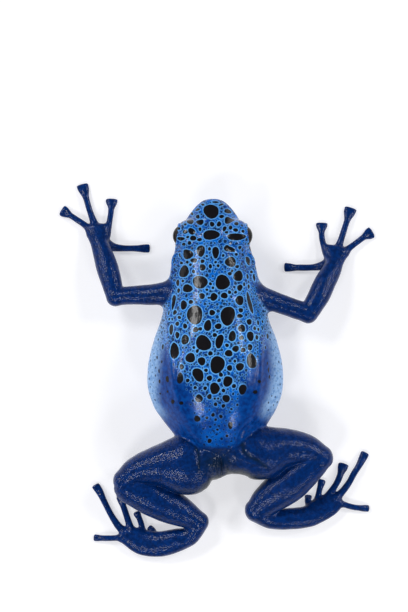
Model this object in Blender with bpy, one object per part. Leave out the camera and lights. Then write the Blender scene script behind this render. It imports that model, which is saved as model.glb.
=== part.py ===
"""Blue poison dart frog, a still life-size model in one crouching pose.

The frog lies low on a floor at z = 0, its hands spread ahead and its hind legs folded beside the
rump. Its head points to -Y, its back to +Z and its left side to +X. Sizes here are millimetres, and
each mesh becomes metres when it is made. The body is one run of cross-sections parted at the neck,
and each limb segment and digit is a tube through named stations, cut clear of what it grows from.
"""

import math
from typing import NamedTuple

import bmesh
import bpy
from mathutils import Matrix, Vector

METRES = 0.001
GAP = 0.3
FLOOR_DEPTH = 4.0
REACH = 80.0

BODY_SIDES = 32
LIMB_SIDES = 14
DIGIT_SIDES = 8
CAP_RINGS = 2

NECK_Y = -15.4
SOFT_MAX = 7.0
BELLY_CROWN = 0.54
BACK_SQUARENESS = 2.5

EYE_RADIUS = 1.8
EYE_GAP = 0.2
LID_THICKNESS = 0.6
LID_WALL = 0.35
LID_INWARD = 0.8
LID_FORWARD = 0.1
EYE_SPREAD = 4.4
EYE_Y = -21.0
EYE_Z = 6.35
EYE_OPENING_WIDE = math.radians(55)
EYE_OPENING_HIGH = math.radians(54)
GAZE_FORWARD = math.radians(8)
GAZE_UP = math.radians(4)

NOSTRIL_Y = -25.4
NOSTRIL_SPREAD = 1.75
NOSTRIL_Z = 5.75
NOSTRIL_RADIUS = 0.28

EARDRUM_Y = -17.3
EARDRUM_ANGLE = math.radians(14)
EARDRUM_RADIUS = 1.05
EARDRUM_RISE = 0.25

LIP_OVERHANG = 0.12
MOUTH_FRONT_Z = 3.35
MOUTH_CORNER = (-17.6, 3.3)
JAW_ANGLE = (-16.4, 0.5)


class Section(NamedTuple):
    """One cross-section of the body: where it stands and how far it reaches."""

    y: float
    x: float
    belly: float
    back: float
    level: float
    top: float
    bottom: float


class Station(NamedTuple):
    """One point on a limb's centreline, with the half width and half height there."""

    x: float
    y: float
    z: float
    wide: float
    high: float


class Digit(NamedTuple):
    """A finger or toe: its centreline seen from above and its half widths."""

    path: tuple
    base: float
    shaft: float
    pad: float


BODY = [
    Section(-26.75, 0.66, 0.70, 0.60, 4.75, 5.20, 4.25),
    Section(-26.50, 0.66, 1.45, 1.25, 4.70, 5.65, 3.70),
    Section(-25.90, 0.66, 2.20, 1.90, 4.60, 6.15, 3.20),
    Section(-24.90, 0.66, 3.10, 2.60, 4.50, 6.75, 2.70),
    Section(-23.60, 0.67, 3.95, 3.25, 4.50, 7.35, 2.35),
    Section(-21.30, 0.68, 4.95, 4.00, 4.60, 8.15, 2.05),
    Section(-19.00, 0.66, 5.70, 4.60, 4.70, 8.80, 1.90),
    Section(-16.80, 0.58, 6.25, 5.30, 4.80, 9.35, 1.80),
    Section(-14.00, 0.48, 6.70, 5.80, 4.90, 10.15, 1.45),
    Section(-11.00, 0.42, 7.25, 6.45, 4.90, 11.10, 1.05),
    Section(-8.00, 0.32, 7.90, 7.25, 4.85, 12.00, 0.55),
    Section(-4.60, 0.28, 9.15, 8.05, 4.80, 12.85, 0.05),
    Section(-1.00, 0.27, 10.00, 8.60, 4.75, 13.30, -0.12),
    Section(2.60, 0.26, 10.10, 8.50, 4.75, 13.10, -0.12),
    Section(5.40, 0.22, 9.30, 7.80, 4.80, 12.40, 0.00),
    Section(7.60, 0.12, 8.00, 6.80, 4.90, 11.60, 0.30),
    Section(9.70, 0.00, 6.50, 5.60, 5.00, 10.55, 0.80),
    Section(11.60, -0.15, 5.30, 4.40, 5.00, 9.35, 1.35),
    Section(13.30, -0.35, 4.30, 3.40, 5.00, 7.90, 2.10),
    Section(14.80, -0.60, 3.00, 2.40, 5.00, 6.60, 3.10),
    Section(15.50, -0.80, 1.50, 1.20, 5.00, 5.70, 4.10),
]

UPPER_ARM = {
    "left": [
        Station(4.90, -12.55, 5.6, 2.00, 1.95),
        Station(8.20, -12.05, 5.2, 1.78, 1.65),
        Station(10.90, -11.85, 4.7, 1.58, 1.50),
        Station(14.00, -11.75, 4.1, 1.42, 1.45),
        Station(15.80, -11.55, 3.7, 1.45, 1.50),
    ],
    "right": [
        Station(-4.40, -12.45, 5.6, 1.95, 1.95),
        Station(-7.00, -11.50, 5.2, 1.68, 1.65),
        Station(-9.20, -10.70, 4.7, 1.55, 1.50),
        Station(-11.50, -9.90, 4.2, 1.50, 1.50),
        Station(-14.25, -8.95, 3.7, 1.50, 1.50),
    ],
}
FOREARM = {
    "left": [
        Station(17.05, -16.00, 2.9, 1.72, 1.50),
        Station(17.95, -18.70, 2.1, 1.50, 1.25),
        Station(18.35, -19.90, 1.7, 1.38, 1.05),
    ],
    "right": [
        Station(-15.80, -11.60, 3.3, 1.70, 1.60),
        Station(-16.80, -13.70, 2.8, 1.70, 1.50),
        Station(-17.90, -15.70, 2.1, 1.50, 1.25),
        Station(-18.35, -16.90, 1.7, 1.38, 1.05),
    ],
}
PALM = {
    "left": [
        Station(18.45, -21.20, 1.05, 1.90, 0.95),
        Station(18.60, -22.45, 0.80, 1.90, 0.82),
    ],
    "right": [
        Station(-18.50, -18.20, 1.05, 2.00, 0.95),
        Station(-18.70, -19.00, 0.80, 2.10, 0.82),
    ],
}
FINGERS = {
    "left": {
        "finger_1": Digit(
            ((17.6, -19.9), (16.2, -19.3), (14.5, -19.12), (12.75, -19.1), (10.72, -19.1)),
            1.10,
            0.50,
            0.68,
        ),
        "finger_2": Digit(
            ((17.5, -21.4), (16.95, -22.55), (16.6, -24.3), (16.48, -25.5), (16.43, -26.62)),
            0.80,
            0.46,
            0.93,
        ),
        "finger_3": Digit(
            ((18.7, -21.6), (19.15, -22.9), (19.85, -25.05), (20.55, -27.4), (21.0, -28.9)),
            0.85,
            0.48,
            0.95,
        ),
        "finger_4": Digit(
            ((19.4, -21.6), (20.55, -22.7), (22.1, -23.75), (23.05, -24.35), (24.08, -24.98)),
            0.75,
            0.46,
            0.88,
        ),
    },
    "right": {
        "finger_1": Digit(
            ((-17.6, -16.8), (-16.05, -16.3), (-14.3, -16.1), (-12.75, -16.1), (-10.75, -16.15)),
            1.05,
            0.50,
            0.70,
        ),
        "finger_2": Digit(
            ((-17.5, -17.9), (-16.85, -19.0), (-16.4, -20.55), (-16.32, -21.8), (-16.35, -22.9)),
            0.80,
            0.46,
            0.92,
        ),
        "finger_3": Digit(
            ((-18.7, -18.1), (-19.0, -19.4), (-19.65, -21.4), (-20.25, -23.35), (-20.85, -25.25)),
            0.85,
            0.48,
            0.98,
        ),
        "finger_4": Digit(
            ((-19.4, -18.2), (-20.85, -19.3), (-22.1, -20.25), (-23.05, -20.95), (-24.08, -21.56)),
            0.78,
            0.46,
            0.94,
        ),
    },
}

THIGH = {
    "left": [
        Station(1.90, 13.50, 5.2, 3.60, 3.50),
        Station(3.40, 14.00, 5.2, 4.75, 3.75),
        Station(5.50, 14.50, 5.1, 4.80, 3.80),
        Station(9.50, 14.75, 4.8, 3.10, 3.05),
        Station(12.55, 15.60, 4.4, 2.25, 2.40),
        Station(14.30, 17.10, 4.0, 1.85, 1.90),
    ],
    "right": [
        Station(-3.00, 12.70, 5.3, 3.35, 3.70),
        Station(-4.90, 12.50, 5.2, 4.05, 3.80),
        Station(-7.20, 12.60, 5.1, 4.25, 3.60),
        Station(-10.60, 11.95, 4.8, 3.12, 3.00),
        Station(-13.70, 12.20, 4.4, 2.45, 2.40),
        Station(-16.15, 13.50, 4.0, 1.95, 1.90),
    ],
}
SHANK = {
    "left": [
        Station(13.80, 18.10, 3.85, 2.30, 2.20),
        Station(12.50, 18.75, 3.7, 2.55, 2.40),
        Station(10.35, 19.60, 3.5, 2.88, 2.65),
        Station(7.95, 20.80, 3.2, 2.78, 2.50),
        Station(5.60, 21.95, 2.8, 2.38, 2.10),
        Station(3.85, 22.95, 2.3, 1.85, 1.75),
        Station(2.90, 23.60, 2.0, 1.60, 1.60),
    ],
    "right": [
        Station(-14.10, 15.25, 3.7, 2.50, 2.40),
        Station(-11.15, 17.55, 3.4, 2.98, 2.65),
        Station(-7.95, 20.00, 2.8, 2.48, 2.20),
        Station(-6.15, 21.75, 2.2, 1.85, 1.75),
    ],
}
TARSUS = {
    "left": [
        Station(4.20, 25.65, 1.55, 1.50, 1.45),
        Station(6.40, 26.45, 1.40, 1.85, 1.40),
        Station(8.85, 27.00, 1.20, 2.00, 1.22),
    ],
    "right": [
        Station(-8.55, 23.05, 1.55, 1.62, 1.45),
        Station(-11.35, 23.05, 1.40, 1.68, 1.38),
        Station(-14.00, 22.75, 1.20, 1.70, 1.22),
    ],
}
SOLE = {
    "left": [
        Station(11.20, 26.85, 1.00, 2.00, 1.03),
        Station(13.20, 26.05, 0.85, 1.75, 0.90),
        Station(14.70, 25.60, 0.70, 1.20, 0.75),
    ],
    "right": [
        Station(-16.00, 21.75, 1.00, 1.85, 1.03),
        Station(-17.90, 20.80, 0.85, 1.62, 0.90),
        Station(-19.00, 20.25, 0.70, 1.15, 0.75),
    ],
}
TOES = {
    "left": {
        "toe_1": Digit(
            ((10.95, 26.3), (10.15, 25.7), (9.95, 25.0), (10.5, 24.5)),
            0.65,
            0.48,
            0.50,
        ),
        "toe_2": Digit(
            ((11.65, 25.35), (11.75, 24.25), (12.05, 23.2), (12.5, 22.2)),
            0.65,
            0.47,
            0.60,
        ),
        "toe_3": Digit(
            ((13.35, 25.05), (13.7, 23.8), (14.25, 22.2), (14.7, 20.85), (15.08, 19.68)),
            0.70,
            0.50,
            0.68,
        ),
        "toe_4": Digit(
            ((14.1, 25.4), (15.3, 24.3), (16.5, 22.5), (17.5, 20.55), (18.25, 19.0), (18.9, 17.98)),
            0.72,
            0.49,
            0.66,
        ),
        "toe_5": Digit(
            ((14.05, 25.85), (15.5, 26.05), (16.95, 26.12), (18.2, 26.1), (19.02, 26.05)),
            0.70,
            0.45,
            0.56,
        ),
    },
    "right": {
        "toe_1": Digit(
            ((-14.6, 21.4), (-14.2, 20.5), (-14.25, 19.6)),
            0.65,
            0.50,
            0.58,
        ),
        "toe_2": Digit(
            ((-15.4, 21.0), (-15.75, 19.6), (-16.05, 18.35), (-16.38, 17.2)),
            0.65,
            0.48,
            0.62,
        ),
        "toe_3": Digit(
            ((-16.7, 20.25), (-17.8, 18.85), (-18.8, 17.25), (-19.4, 15.7), (-19.72, 14.68)),
            0.70,
            0.50,
            0.84,
        ),
        "toe_4": Digit(
            (
                (-18.0, 20.3),
                (-19.3, 19.15),
                (-20.45, 17.7),
                (-21.4, 16.0),
                (-22.35, 14.45),
                (-23.08, 12.95),
            ),
            0.74,
            0.50,
            0.68,
        ),
        "toe_5": Digit(
            ((-18.1, 20.4), (-19.6, 20.8), (-21.0, 21.2), (-22.25, 21.4), (-23.55, 21.47)),
            0.68,
            0.45,
            0.54,
        ),
    },
}
DIGIT_ROOT_Z = 0.80
DIGIT_SHAFT_Z = 0.62
DIGIT_PAD_Z = 0.28
DIGIT_PAD_HIGH = 0.34
DIGIT_FLATNESS = 0.92
DIGIT_TIP = 0.3


def clear_scene():
    """Removes every object that the file opened with."""
    for obj in list(bpy.data.objects):
        bpy.data.objects.remove(obj, do_unlink=True)


def material(name, colour, roughness):
    """A Principled material of one colour."""
    made = bpy.data.materials.new(name)
    made.use_nodes = True
    shader = made.node_tree.nodes["Principled BSDF"]
    shader.inputs["Base Color"].default_value = (*colour, 1.0)
    shader.inputs["Roughness"].default_value = roughness
    shader.inputs["Metallic"].default_value = 0.0
    return made


def through(points, steps):
    """Points on a smooth curve through the given ones, with steps spans between each two."""
    kind = type(points[0])
    ends = [
        tuple(2 * a - b for a, b in zip(points[0], points[1])),
        tuple(2 * a - b for a, b in zip(points[-1], points[-2])),
    ]
    line = [ends[0], *points, ends[1]]
    found = []
    for k in range(1, len(line) - 2):
        for step in range(steps):
            t = step / steps
            weights = (
                -0.5 * t + t * t - 0.5 * t**3,
                1 - 2.5 * t * t + 1.5 * t**3,
                0.5 * t + 2 * t * t - 1.5 * t**3,
                -0.5 * t * t + 0.5 * t**3,
            )
            around = line[k - 1 : k + 3]
            values = [sum(w * p[axis] for w, p in zip(weights, around)) for axis in range(len(points[0]))]
            found.append(kind(*values) if kind is not tuple else tuple(values))
    found.append(points[-1])
    return found


def closed_shape(rings):
    """A closed triangle mesh over rings of points, with a flat cap on the first and the last."""
    shape = bmesh.new()
    loops = [[shape.verts.new(point) for point in ring] for ring in rings]
    count = len(rings[0])
    for one, two in zip(loops, loops[1:]):
        for k in range(count):
            after = (k + 1) % count
            shape.faces.new((one[k], one[after], two[after], two[k]))
    shape.faces.new(loops[0])
    shape.faces.new(loops[-1])
    bmesh.ops.triangulate(shape, faces=shape.faces[:])
    bmesh.ops.recalc_face_normals(shape, faces=shape.faces[:])
    if shape.calc_volume(signed=True) < 0:
        bmesh.ops.reverse_faces(shape, faces=shape.faces[:])
    return shape


def into_object(name, shape):
    """An object of a bmesh, scaled from millimetres to metres."""
    bmesh.ops.scale(shape, vec=(METRES,) * 3, verts=shape.verts[:])
    mesh = bpy.data.meshes.new(name)
    shape.to_mesh(mesh)
    shape.free()
    obj = bpy.data.objects.new(name, mesh)
    bpy.context.scene.collection.objects.link(obj)
    return obj


def body_radius(section, angle, grow):
    """How far the body reaches from its section's centre at an angle above the level line."""
    across, up = math.cos(angle), math.sin(angle)
    rise, drop = section.top - section.level, section.level - section.bottom
    heights = (rise, rise * BELLY_CROWN) if up > 0 else (drop * 0.9, drop)
    powers = (BACK_SQUARENESS if up > 0 else 2.0, 2.0)
    reaches = [
        (abs(across / (width + grow)) ** power + abs(up / (height + grow)) ** power) ** (-1 / power)
        for width, height, power in zip((section.back, section.belly), heights, powers)
    ]
    return sum(reach**SOFT_MAX for reach in reaches) ** (1 / SOFT_MAX)


def body_ring(section, grow=0.0):
    """The outline of the body at one section."""
    ring = []
    for k in range(BODY_SIDES):
        angle = 2 * math.pi * k / BODY_SIDES
        reach = body_radius(section, angle, grow)
        ring.append(
            Vector(
                (
                    section.x + reach * math.cos(angle),
                    section.y,
                    section.level + reach * math.sin(angle),
                )
            )
        )
    return ring


def body_at(y):
    """The body's section nearest to a place along it."""
    return min(through(BODY, 16), key=lambda s: abs(s.y - y))


def body_shape(first_y, last_y, grow=0.0):
    """The body from first_y to last_y, larger all round by grow."""
    kept = [s for s in BODY if first_y + 0.2 < s.y < last_y - 0.2]
    sections = [body_at(first_y)._replace(y=first_y), *kept, body_at(last_y)._replace(y=last_y)]
    return closed_shape([body_ring(section, grow) for section in sections])


def tip(last, before, bulge):
    """The stations that draw a tube's end in to a rounded tip."""
    ahead = (Vector(last[:3]) - Vector(before[:3])).normalized()
    found = []
    for k in range(1, CAP_RINGS + 1):
        angle = math.radians(86) * k / CAP_RINGS
        centre = Vector(last[:3]) + ahead * (bulge * math.sin(angle))
        narrow = max(math.cos(angle), 0.15)
        found.append(Station(*centre, last.wide * narrow, last.high * narrow))
    return found


def tube_shape(stations, sides, grow=0.0):
    """A closed tube through stations, wide across the floor's plane and high along Z."""
    rings = []
    for k, station in enumerate(stations):
        before, after = stations[max(k - 1, 0)], stations[min(k + 1, len(stations) - 1)]
        ahead = Vector(after[:3]) - Vector(before[:3])
        ahead.normalize()
        across = ahead.cross(Vector((0, 0, 1))).normalized()
        up = across.cross(ahead)
        centre = Vector(station[:3])
        rings.append(
            [
                centre
                + across * ((station.wide + grow) * math.cos(2 * math.pi * j / sides))
                + up * ((station.high + grow) * math.sin(2 * math.pi * j / sides))
                for j in range(sides)
            ]
        )
    return closed_shape(rings)


def grown(stations, grow):
    """The same tube's stations with its rounded end reaching further by grow."""
    first, last = stations[0], stations[-1]
    ahead = (Vector(last[:3]) - Vector(stations[-2][:3])).normalized() * grow
    back = (Vector(first[:3]) - Vector(stations[1][:3])).normalized() * grow
    return [
        Station(*(Vector(first[:3]) + back), *first[3:]),
        *stations[1:-1],
        Station(*(Vector(last[:3]) + ahead), *last[3:]),
    ]


class Tube:
    """A limb segment or digit, which can be made at its size or larger as a cutter."""

    def __init__(self, name, stations, sides, steps, bulge=None, root_bulge=None):
        self.name = name
        self.sides = sides
        smooth = through(stations, steps)
        end = stations[-1]
        self.stations = smooth + tip(end, smooth[-2], end.wide * 0.9 if bulge is None else bulge)
        if root_bulge is not None:
            self.stations = tip(smooth[0], smooth[1], root_bulge)[::-1] + self.stations

    def made(self, grow=0.0, name=None):
        """An object of the tube, larger all round by grow."""
        stations = grown(self.stations, grow) if grow else self.stations
        return into_object(name or self.name, tube_shape(stations, self.sides, grow))


def digit_tube(name, digit):
    """The tube of a finger or toe, thick at its root and spread to a pad at its tip."""
    line = through(list(digit.path), 4)
    lengths = [0.0]
    for one, two in zip(line, line[1:]):
        lengths.append(lengths[-1] + math.dist(one, two))
    stations = []
    for (x, y), length in zip(line, lengths):
        share = length / lengths[-1]
        root = max(0.0, 1 - share / 0.5) ** 2
        spread = max(0.0, (share - 0.74) / 0.26)
        spread = spread * spread * (3 - 2 * spread)
        wide = digit.shaft + (digit.base - digit.shaft) * root + (digit.pad - digit.shaft) * spread
        high = digit.shaft * DIGIT_FLATNESS * (1 - spread) + DIGIT_PAD_HIGH * spread
        high += (digit.base - digit.shaft) * root
        z = DIGIT_SHAFT_Z + (DIGIT_ROOT_Z - DIGIT_SHAFT_Z) * root
        z += (DIGIT_PAD_Z - DIGIT_SHAFT_Z) * spread
        stations.append(Station(x, y, z, wide, high))
    return Tube(name, stations[:-1:2] + stations[-1:], DIGIT_SIDES, 1, bulge=DIGIT_TIP)


def applied(obj):
    """Replaces an object's mesh by what its modifiers make of it."""
    bpy.context.view_layer.update()
    graph = bpy.context.evaluated_depsgraph_get()
    mesh = bpy.data.meshes.new_from_object(obj.evaluated_get(graph))
    obj.modifiers.clear()
    old = obj.data
    obj.data = mesh
    bpy.data.meshes.remove(old)


def boolean(obj, others, operation):
    """Cuts other objects from obj, or joins them to it, and removes them."""
    for other in others:
        step = obj.modifiers.new(operation, "BOOLEAN")
        step.operation = operation
        step.solver = "EXACT"
        step.object = other
        applied(obj)
        bpy.data.objects.remove(other, do_unlink=True)
    keep_largest(obj)


def keep_largest(obj):
    """Leaves only the largest closed surface of an object."""
    shape = bmesh.new()
    shape.from_mesh(obj.data)
    left = set(shape.verts)
    groups = []
    while left:
        start = left.pop()
        group, edge_of_group = {start}, [start]
        while edge_of_group:
            vert = edge_of_group.pop()
            for edge in vert.link_edges:
                other = edge.other_vert(vert)
                if other in left:
                    left.discard(other)
                    group.add(other)
                    edge_of_group.append(other)
        groups.append(group)
    largest = max(groups, key=len)
    loose = [vert for vert in shape.verts if vert not in largest]
    bmesh.ops.delete(shape, geom=loose, context="VERTS")
    bmesh.ops.triangulate(shape, faces=shape.faces[:])
    shape.to_mesh(obj.data)
    shape.free()


def block(name, low, high):
    """A box between two corners."""
    shape = bmesh.new()
    bmesh.ops.create_cube(shape, size=1.0)
    size = [b - a for a, b in zip(low, high)]
    middle = [(a + b) / 2 for a, b in zip(low, high)]
    bmesh.ops.scale(shape, vec=size, verts=shape.verts[:])
    bmesh.ops.translate(shape, vec=middle, verts=shape.verts[:])
    return into_object(name, shape)


def floor_block():
    """The space below the floor, which gives what rests on it a small flat."""
    return block("floor_cutter", (-REACH, -REACH, -FLOOR_DEPTH), (REACH, REACH, 0.0))


def ball(name, centre, radius, across=16, around=10):
    """A sphere."""
    shape = bmesh.new()
    bmesh.ops.create_uvsphere(shape, u_segments=across, v_segments=around, radius=radius)
    bmesh.ops.triangulate(shape, faces=shape.faces[:])
    bmesh.ops.translate(shape, vec=centre, verts=shape.verts[:])
    return into_object(name, shape)


def rod(name, base, tip, base_radius, tip_radius, sides=16):
    """A straight rod or cone between two points."""
    axis = Vector(tip) - Vector(base)
    shape = bmesh.new()
    bmesh.ops.create_cone(
        shape,
        cap_ends=True,
        segments=sides,
        radius1=base_radius,
        radius2=tip_radius,
        depth=axis.length,
    )
    turn = Vector((0, 0, 1)).rotation_difference(axis).to_matrix().to_4x4()
    place = Matrix.Translation((Vector(base) + Vector(tip)) / 2)
    bmesh.ops.transform(shape, matrix=place @ turn, verts=shape.verts[:])
    return into_object(name, shape)


def skin_point(y, angle, side):
    """A point of the body's skin, at an angle above the level line on one side."""
    section = body_at(y)
    reach = body_radius(section, angle, 0.0)
    across = side * reach * math.cos(angle)
    return Vector((section.x + across, section.y, section.level + reach * math.sin(angle)))


def on_skin(y, angle, side):
    """A point of the body's skin and the direction that points out of it there."""
    here = skin_point(y, angle, side)
    along = skin_point(y + 0.5, angle, side) - skin_point(y - 0.5, angle, side)
    around = skin_point(y, angle + 0.05, side) - skin_point(y, angle - 0.05, side)
    out = along.cross(around).normalized()
    return here, out if out.x * side > 0 else -out


def eye_centre(side):
    """The centre of one eye, with side +1 on the left and -1 on the right."""
    return Vector((body_at(EYE_Y).x + side * EYE_SPREAD, EYE_Y, EYE_Z))


def gaze(side):
    """The direction in which one eye looks."""
    level = math.cos(GAZE_UP)
    return Vector(
        (
            side * level * math.cos(GAZE_FORWARD),
            -level * math.sin(GAZE_FORWARD),
            math.sin(GAZE_UP),
        )
    )


def opening_shape(centre, ahead):
    """The space that the lids leave open: a flattened cone from the eye's centre outward."""
    cone = []
    for reach in (0.02, EYE_RADIUS + 1.5):
        wide = reach * math.tan(EYE_OPENING_WIDE)
        high = reach * math.tan(EYE_OPENING_HIGH)
        cone.append(Station(*(centre + ahead * reach), wide, high))
    return tube_shape(cone, 18)


def jaw_block(name, grow):
    """The space of the lower jaw: below the mouth line and ahead of the jaw's angle."""
    corner_y, corner_z = MOUTH_CORNER
    angle_y, angle_z = JAW_ANGLE
    outline = [
        (BODY[0].y - 3, MOUTH_FRONT_Z + grow),
        (corner_y, corner_z + grow),
        (angle_y + grow, angle_z),
        (angle_y + grow, -2.0),
        (BODY[0].y - 3, -2.0),
    ]
    rings = [[Vector((x, y, z)) for y, z in outline] for x in (-12.0, 12.0)]
    return into_object(name, closed_shape(rings))


def head_objects(skin, dark):
    """The upper head with its lids, the lower jaw and both eyes."""
    front = BODY[0].y
    back = NECK_Y - GAP / 2
    head = into_object("head", body_shape(front, back))
    lids = []
    for side in (1, -1):
        middle = eye_centre(side) - Vector((side * LID_INWARD, LID_FORWARD, 0))
        lids.append(ball("lid", middle, EYE_RADIUS + EYE_GAP + LID_THICKNESS))
        lids.append(ball("lid", eye_centre(side), EYE_RADIUS + EYE_GAP + LID_WALL))
    boolean(head, lids, "UNION")
    drums = []
    for side in (1, -1):
        here, out = on_skin(EARDRUM_Y, EARDRUM_ANGLE, side)
        ends = (here - out, here + out * EARDRUM_RISE)
        drums.append(rod("drum", *ends, EARDRUM_RADIUS, EARDRUM_RADIUS * 0.85, 14))
    boolean(head, drums, "UNION")
    openings = []
    for side in (1, -1):
        centre = eye_centre(side)
        openings.append(into_object("opening", opening_shape(centre, gaze(side))))
        openings.append(ball("socket", centre, EYE_RADIUS + EYE_GAP))
        nostril = Vector((body_at(NOSTRIL_Y).x + side * NOSTRIL_SPREAD, NOSTRIL_Y, NOSTRIL_Z))
        outward = Vector((side * 0.62, -0.5, 0.6)).normalized()
        ends = (nostril - outward * 0.35, nostril + outward * 2.0)
        openings.append(rod("nostril", *ends, NOSTRIL_RADIUS * 0.8, NOSTRIL_RADIUS * 1.2, 8))
    jaw = into_object("lower_jaw", body_shape(front, back, -LIP_OVERHANG))
    boolean(jaw, [jaw_block("jaw_space", 0.0)], "INTERSECT")
    boolean(head, [*openings, jaw_block("jaw_room", GAP)], "DIFFERENCE")
    eyes = [
        ball(f"eye_{label}", eye_centre(side), EYE_RADIUS, 20, 12)
        for side, label in ((1, "left"), (-1, "right"))
    ]
    for obj in (head, jaw):
        obj.data.materials.append(skin)
    for obj in eyes:
        obj.data.materials.append(dark)


def torso_tool(grow):
    """The torso larger by grow, to cut what grows from it."""
    return into_object("torso_tool", body_shape(NECK_Y, BODY[-1].y + grow, grow))


def limb_objects(side, skin):
    """One arm and one leg with their digits, each piece cut clear of what it grows from."""
    arm_root, elbow = UPPER_ARM[side], UPPER_ARM[side][-1]
    wrist = FOREARM[side][-1]
    knee = THIGH[side][-1]
    ankle, instep = SHANK[side][-1], TARSUS[side][-1]
    segments = {
        "upper_arm": (arm_root, None, None),
        "forearm": ([elbow, *FOREARM[side]], 0.5, None),
        "hand": ([wrist, *PALM[side]], 0.5, None),
        "thigh": (THIGH[side], None, 2.2),
        "shank": ([knee, *SHANK[side]], None, None),
        "tarsus": ([ankle, *TARSUS[side]], 0.5, None),
        "foot": ([instep, *SOLE[side]], 0.5, None),
    }
    tubes = {
        part: Tube(f"{part}_{side}", stations, LIMB_SIDES, 2, bulge, root_bulge)
        for part, (stations, bulge, root_bulge) in segments.items()
    }
    grows_from = {
        "forearm": ["upper_arm"],
        "hand": ["forearm"],
        "shank": ["thigh"],
        "tarsus": ["shank"],
        "foot": ["tarsus"],
    }
    for limb, digits in (("hand", FINGERS[side]), ("foot", TOES[side])):
        earlier = []
        for name, digit in digits.items():
            tubes[name] = digit_tube(f"{name}_{side}", digit)
            grows_from[name] = [limb, "forearm" if limb == "hand" else "tarsus", *earlier]
            earlier = [name]
    for part, tube in tubes.items():
        obj = tube.made()
        cutters = [tubes[other].made(GAP, "cutter") for other in grows_from.get(part, [])]
        if part in ("upper_arm", "thigh"):
            cutters.append(torso_tool(GAP))
        boolean(obj, [*cutters, floor_block()], "DIFFERENCE")
        obj.data.materials.append(skin)


def set_on_origin():
    """Moves the whole frog so that the middle of its footprint is at the origin."""
    solids = [obj for obj in bpy.data.objects if obj.type == "MESH"]
    points = [vert.co for obj in solids for vert in obj.data.vertices]
    middle = [(min(p[k] for p in points) + max(p[k] for p in points)) / 2 for k in (0, 1)]
    lowest = min(p.z for p in points)
    for obj in solids:
        obj.data.transform(Matrix.Translation((-middle[0], -middle[1], -lowest)))
        obj.data.shade_smooth()
        obj.data.set_sharp_from_angle(angle=math.radians(50))


def main():
    clear_scene()
    spotted = material("spotted_skin", (0.02, 0.22, 0.75), 0.35)
    navy = material("navy_skin", (0.008, 0.03, 0.22), 0.35)
    dark = material("eye", (0.01, 0.006, 0.005), 0.05)
    head_objects(spotted, dark)
    torso = into_object("torso", body_shape(NECK_Y + GAP / 2, BODY[-1].y))
    boolean(torso, [floor_block()], "DIFFERENCE")
    torso.data.materials.append(spotted)
    for side in ("left", "right"):
        limb_objects(side, navy)
    set_on_origin()


main()
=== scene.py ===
"""Blue poison dart frog: the still life-size model in its skin, on a pale studio floor.

The flesh of the frog is one skin, shaped as a field of distances from the same named forms as the
solids: a body of cross-sections, limbs and digits as tubes, lids, nostrils, mouth and eardrums. The
field is contoured into one mesh, which carries its markings as smooth values on its points. The
eyes are pieces of their own. Lengths in the forms are millimetres; meshes are made in metres.
"""

from __future__ import annotations

import logging
import math
import random
from collections.abc import Callable, Iterable, Sequence
from dataclasses import dataclass, field
from enum import Enum
from itertools import product
from typing import NamedTuple, Protocol

import bpy
import numpy as np
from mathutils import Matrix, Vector
from mathutils.kdtree import KDTree

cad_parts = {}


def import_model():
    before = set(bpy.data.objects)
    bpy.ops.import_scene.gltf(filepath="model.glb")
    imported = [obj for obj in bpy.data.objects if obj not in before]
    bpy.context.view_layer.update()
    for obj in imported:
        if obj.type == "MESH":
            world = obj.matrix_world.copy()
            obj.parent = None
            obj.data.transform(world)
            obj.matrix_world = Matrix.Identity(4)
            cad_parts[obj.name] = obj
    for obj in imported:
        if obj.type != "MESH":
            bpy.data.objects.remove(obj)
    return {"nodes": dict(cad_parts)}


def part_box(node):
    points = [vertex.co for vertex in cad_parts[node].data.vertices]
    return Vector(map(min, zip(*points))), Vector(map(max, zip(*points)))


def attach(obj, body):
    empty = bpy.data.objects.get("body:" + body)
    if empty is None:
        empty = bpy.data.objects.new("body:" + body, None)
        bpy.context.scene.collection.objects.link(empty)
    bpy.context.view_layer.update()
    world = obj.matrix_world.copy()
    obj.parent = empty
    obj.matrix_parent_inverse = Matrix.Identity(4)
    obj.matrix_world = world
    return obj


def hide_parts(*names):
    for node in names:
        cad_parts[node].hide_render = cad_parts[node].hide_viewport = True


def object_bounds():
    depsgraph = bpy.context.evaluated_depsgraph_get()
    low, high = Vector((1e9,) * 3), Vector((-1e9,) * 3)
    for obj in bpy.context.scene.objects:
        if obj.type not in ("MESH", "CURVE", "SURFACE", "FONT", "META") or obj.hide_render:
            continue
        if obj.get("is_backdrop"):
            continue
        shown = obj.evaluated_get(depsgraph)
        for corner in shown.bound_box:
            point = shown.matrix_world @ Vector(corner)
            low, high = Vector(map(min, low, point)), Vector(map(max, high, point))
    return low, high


Array = np.ndarray
Colour = tuple[float, float, float]
Place = tuple[float, float, float]
Box = tuple[Place, Place]
Wave = tuple[float, float, float, float]
Rule = Callable[[Array, Array, Array], Array]
Socket = bpy.types.NodeSocket
Value = float | Socket
Tone = Colour | Socket

LOG = logging.getLogger("frog")
MM = 0.001
PHOTO_SIZE = (408, 612)
MM_PER_PIXEL = 0.1556
ORIGIN_PIXEL = (217.0, 371.0)
TINY = 1e-9
NOT_ZERO = 1e-6
FAR_OFF = 1e9


class Side(Enum):
    """The frog's own left and right, as the sign of X."""

    LEFT = 1
    RIGHT = -1

    @property
    def label(self) -> str:
        """The word used in node and piece names."""
        return self.name.lower()


class Blend(Enum):
    """How far one form melts into the next, in millimetres."""

    EDGE = 0.08
    CRISP = 0.12
    FOLD = 0.3
    CREASE = 0.4
    LID = 0.9
    ROOT = 1.2


class Section(NamedTuple):
    """One cross-section of the body: where it stands and how far it reaches."""

    y: float
    x: float
    belly: float
    back: float
    level: float
    top: float
    bottom: float


class Station(NamedTuple):
    """One point on a limb's centreline, with the half width and half height there."""

    x: float
    y: float
    z: float
    wide: float
    high: float


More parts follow.
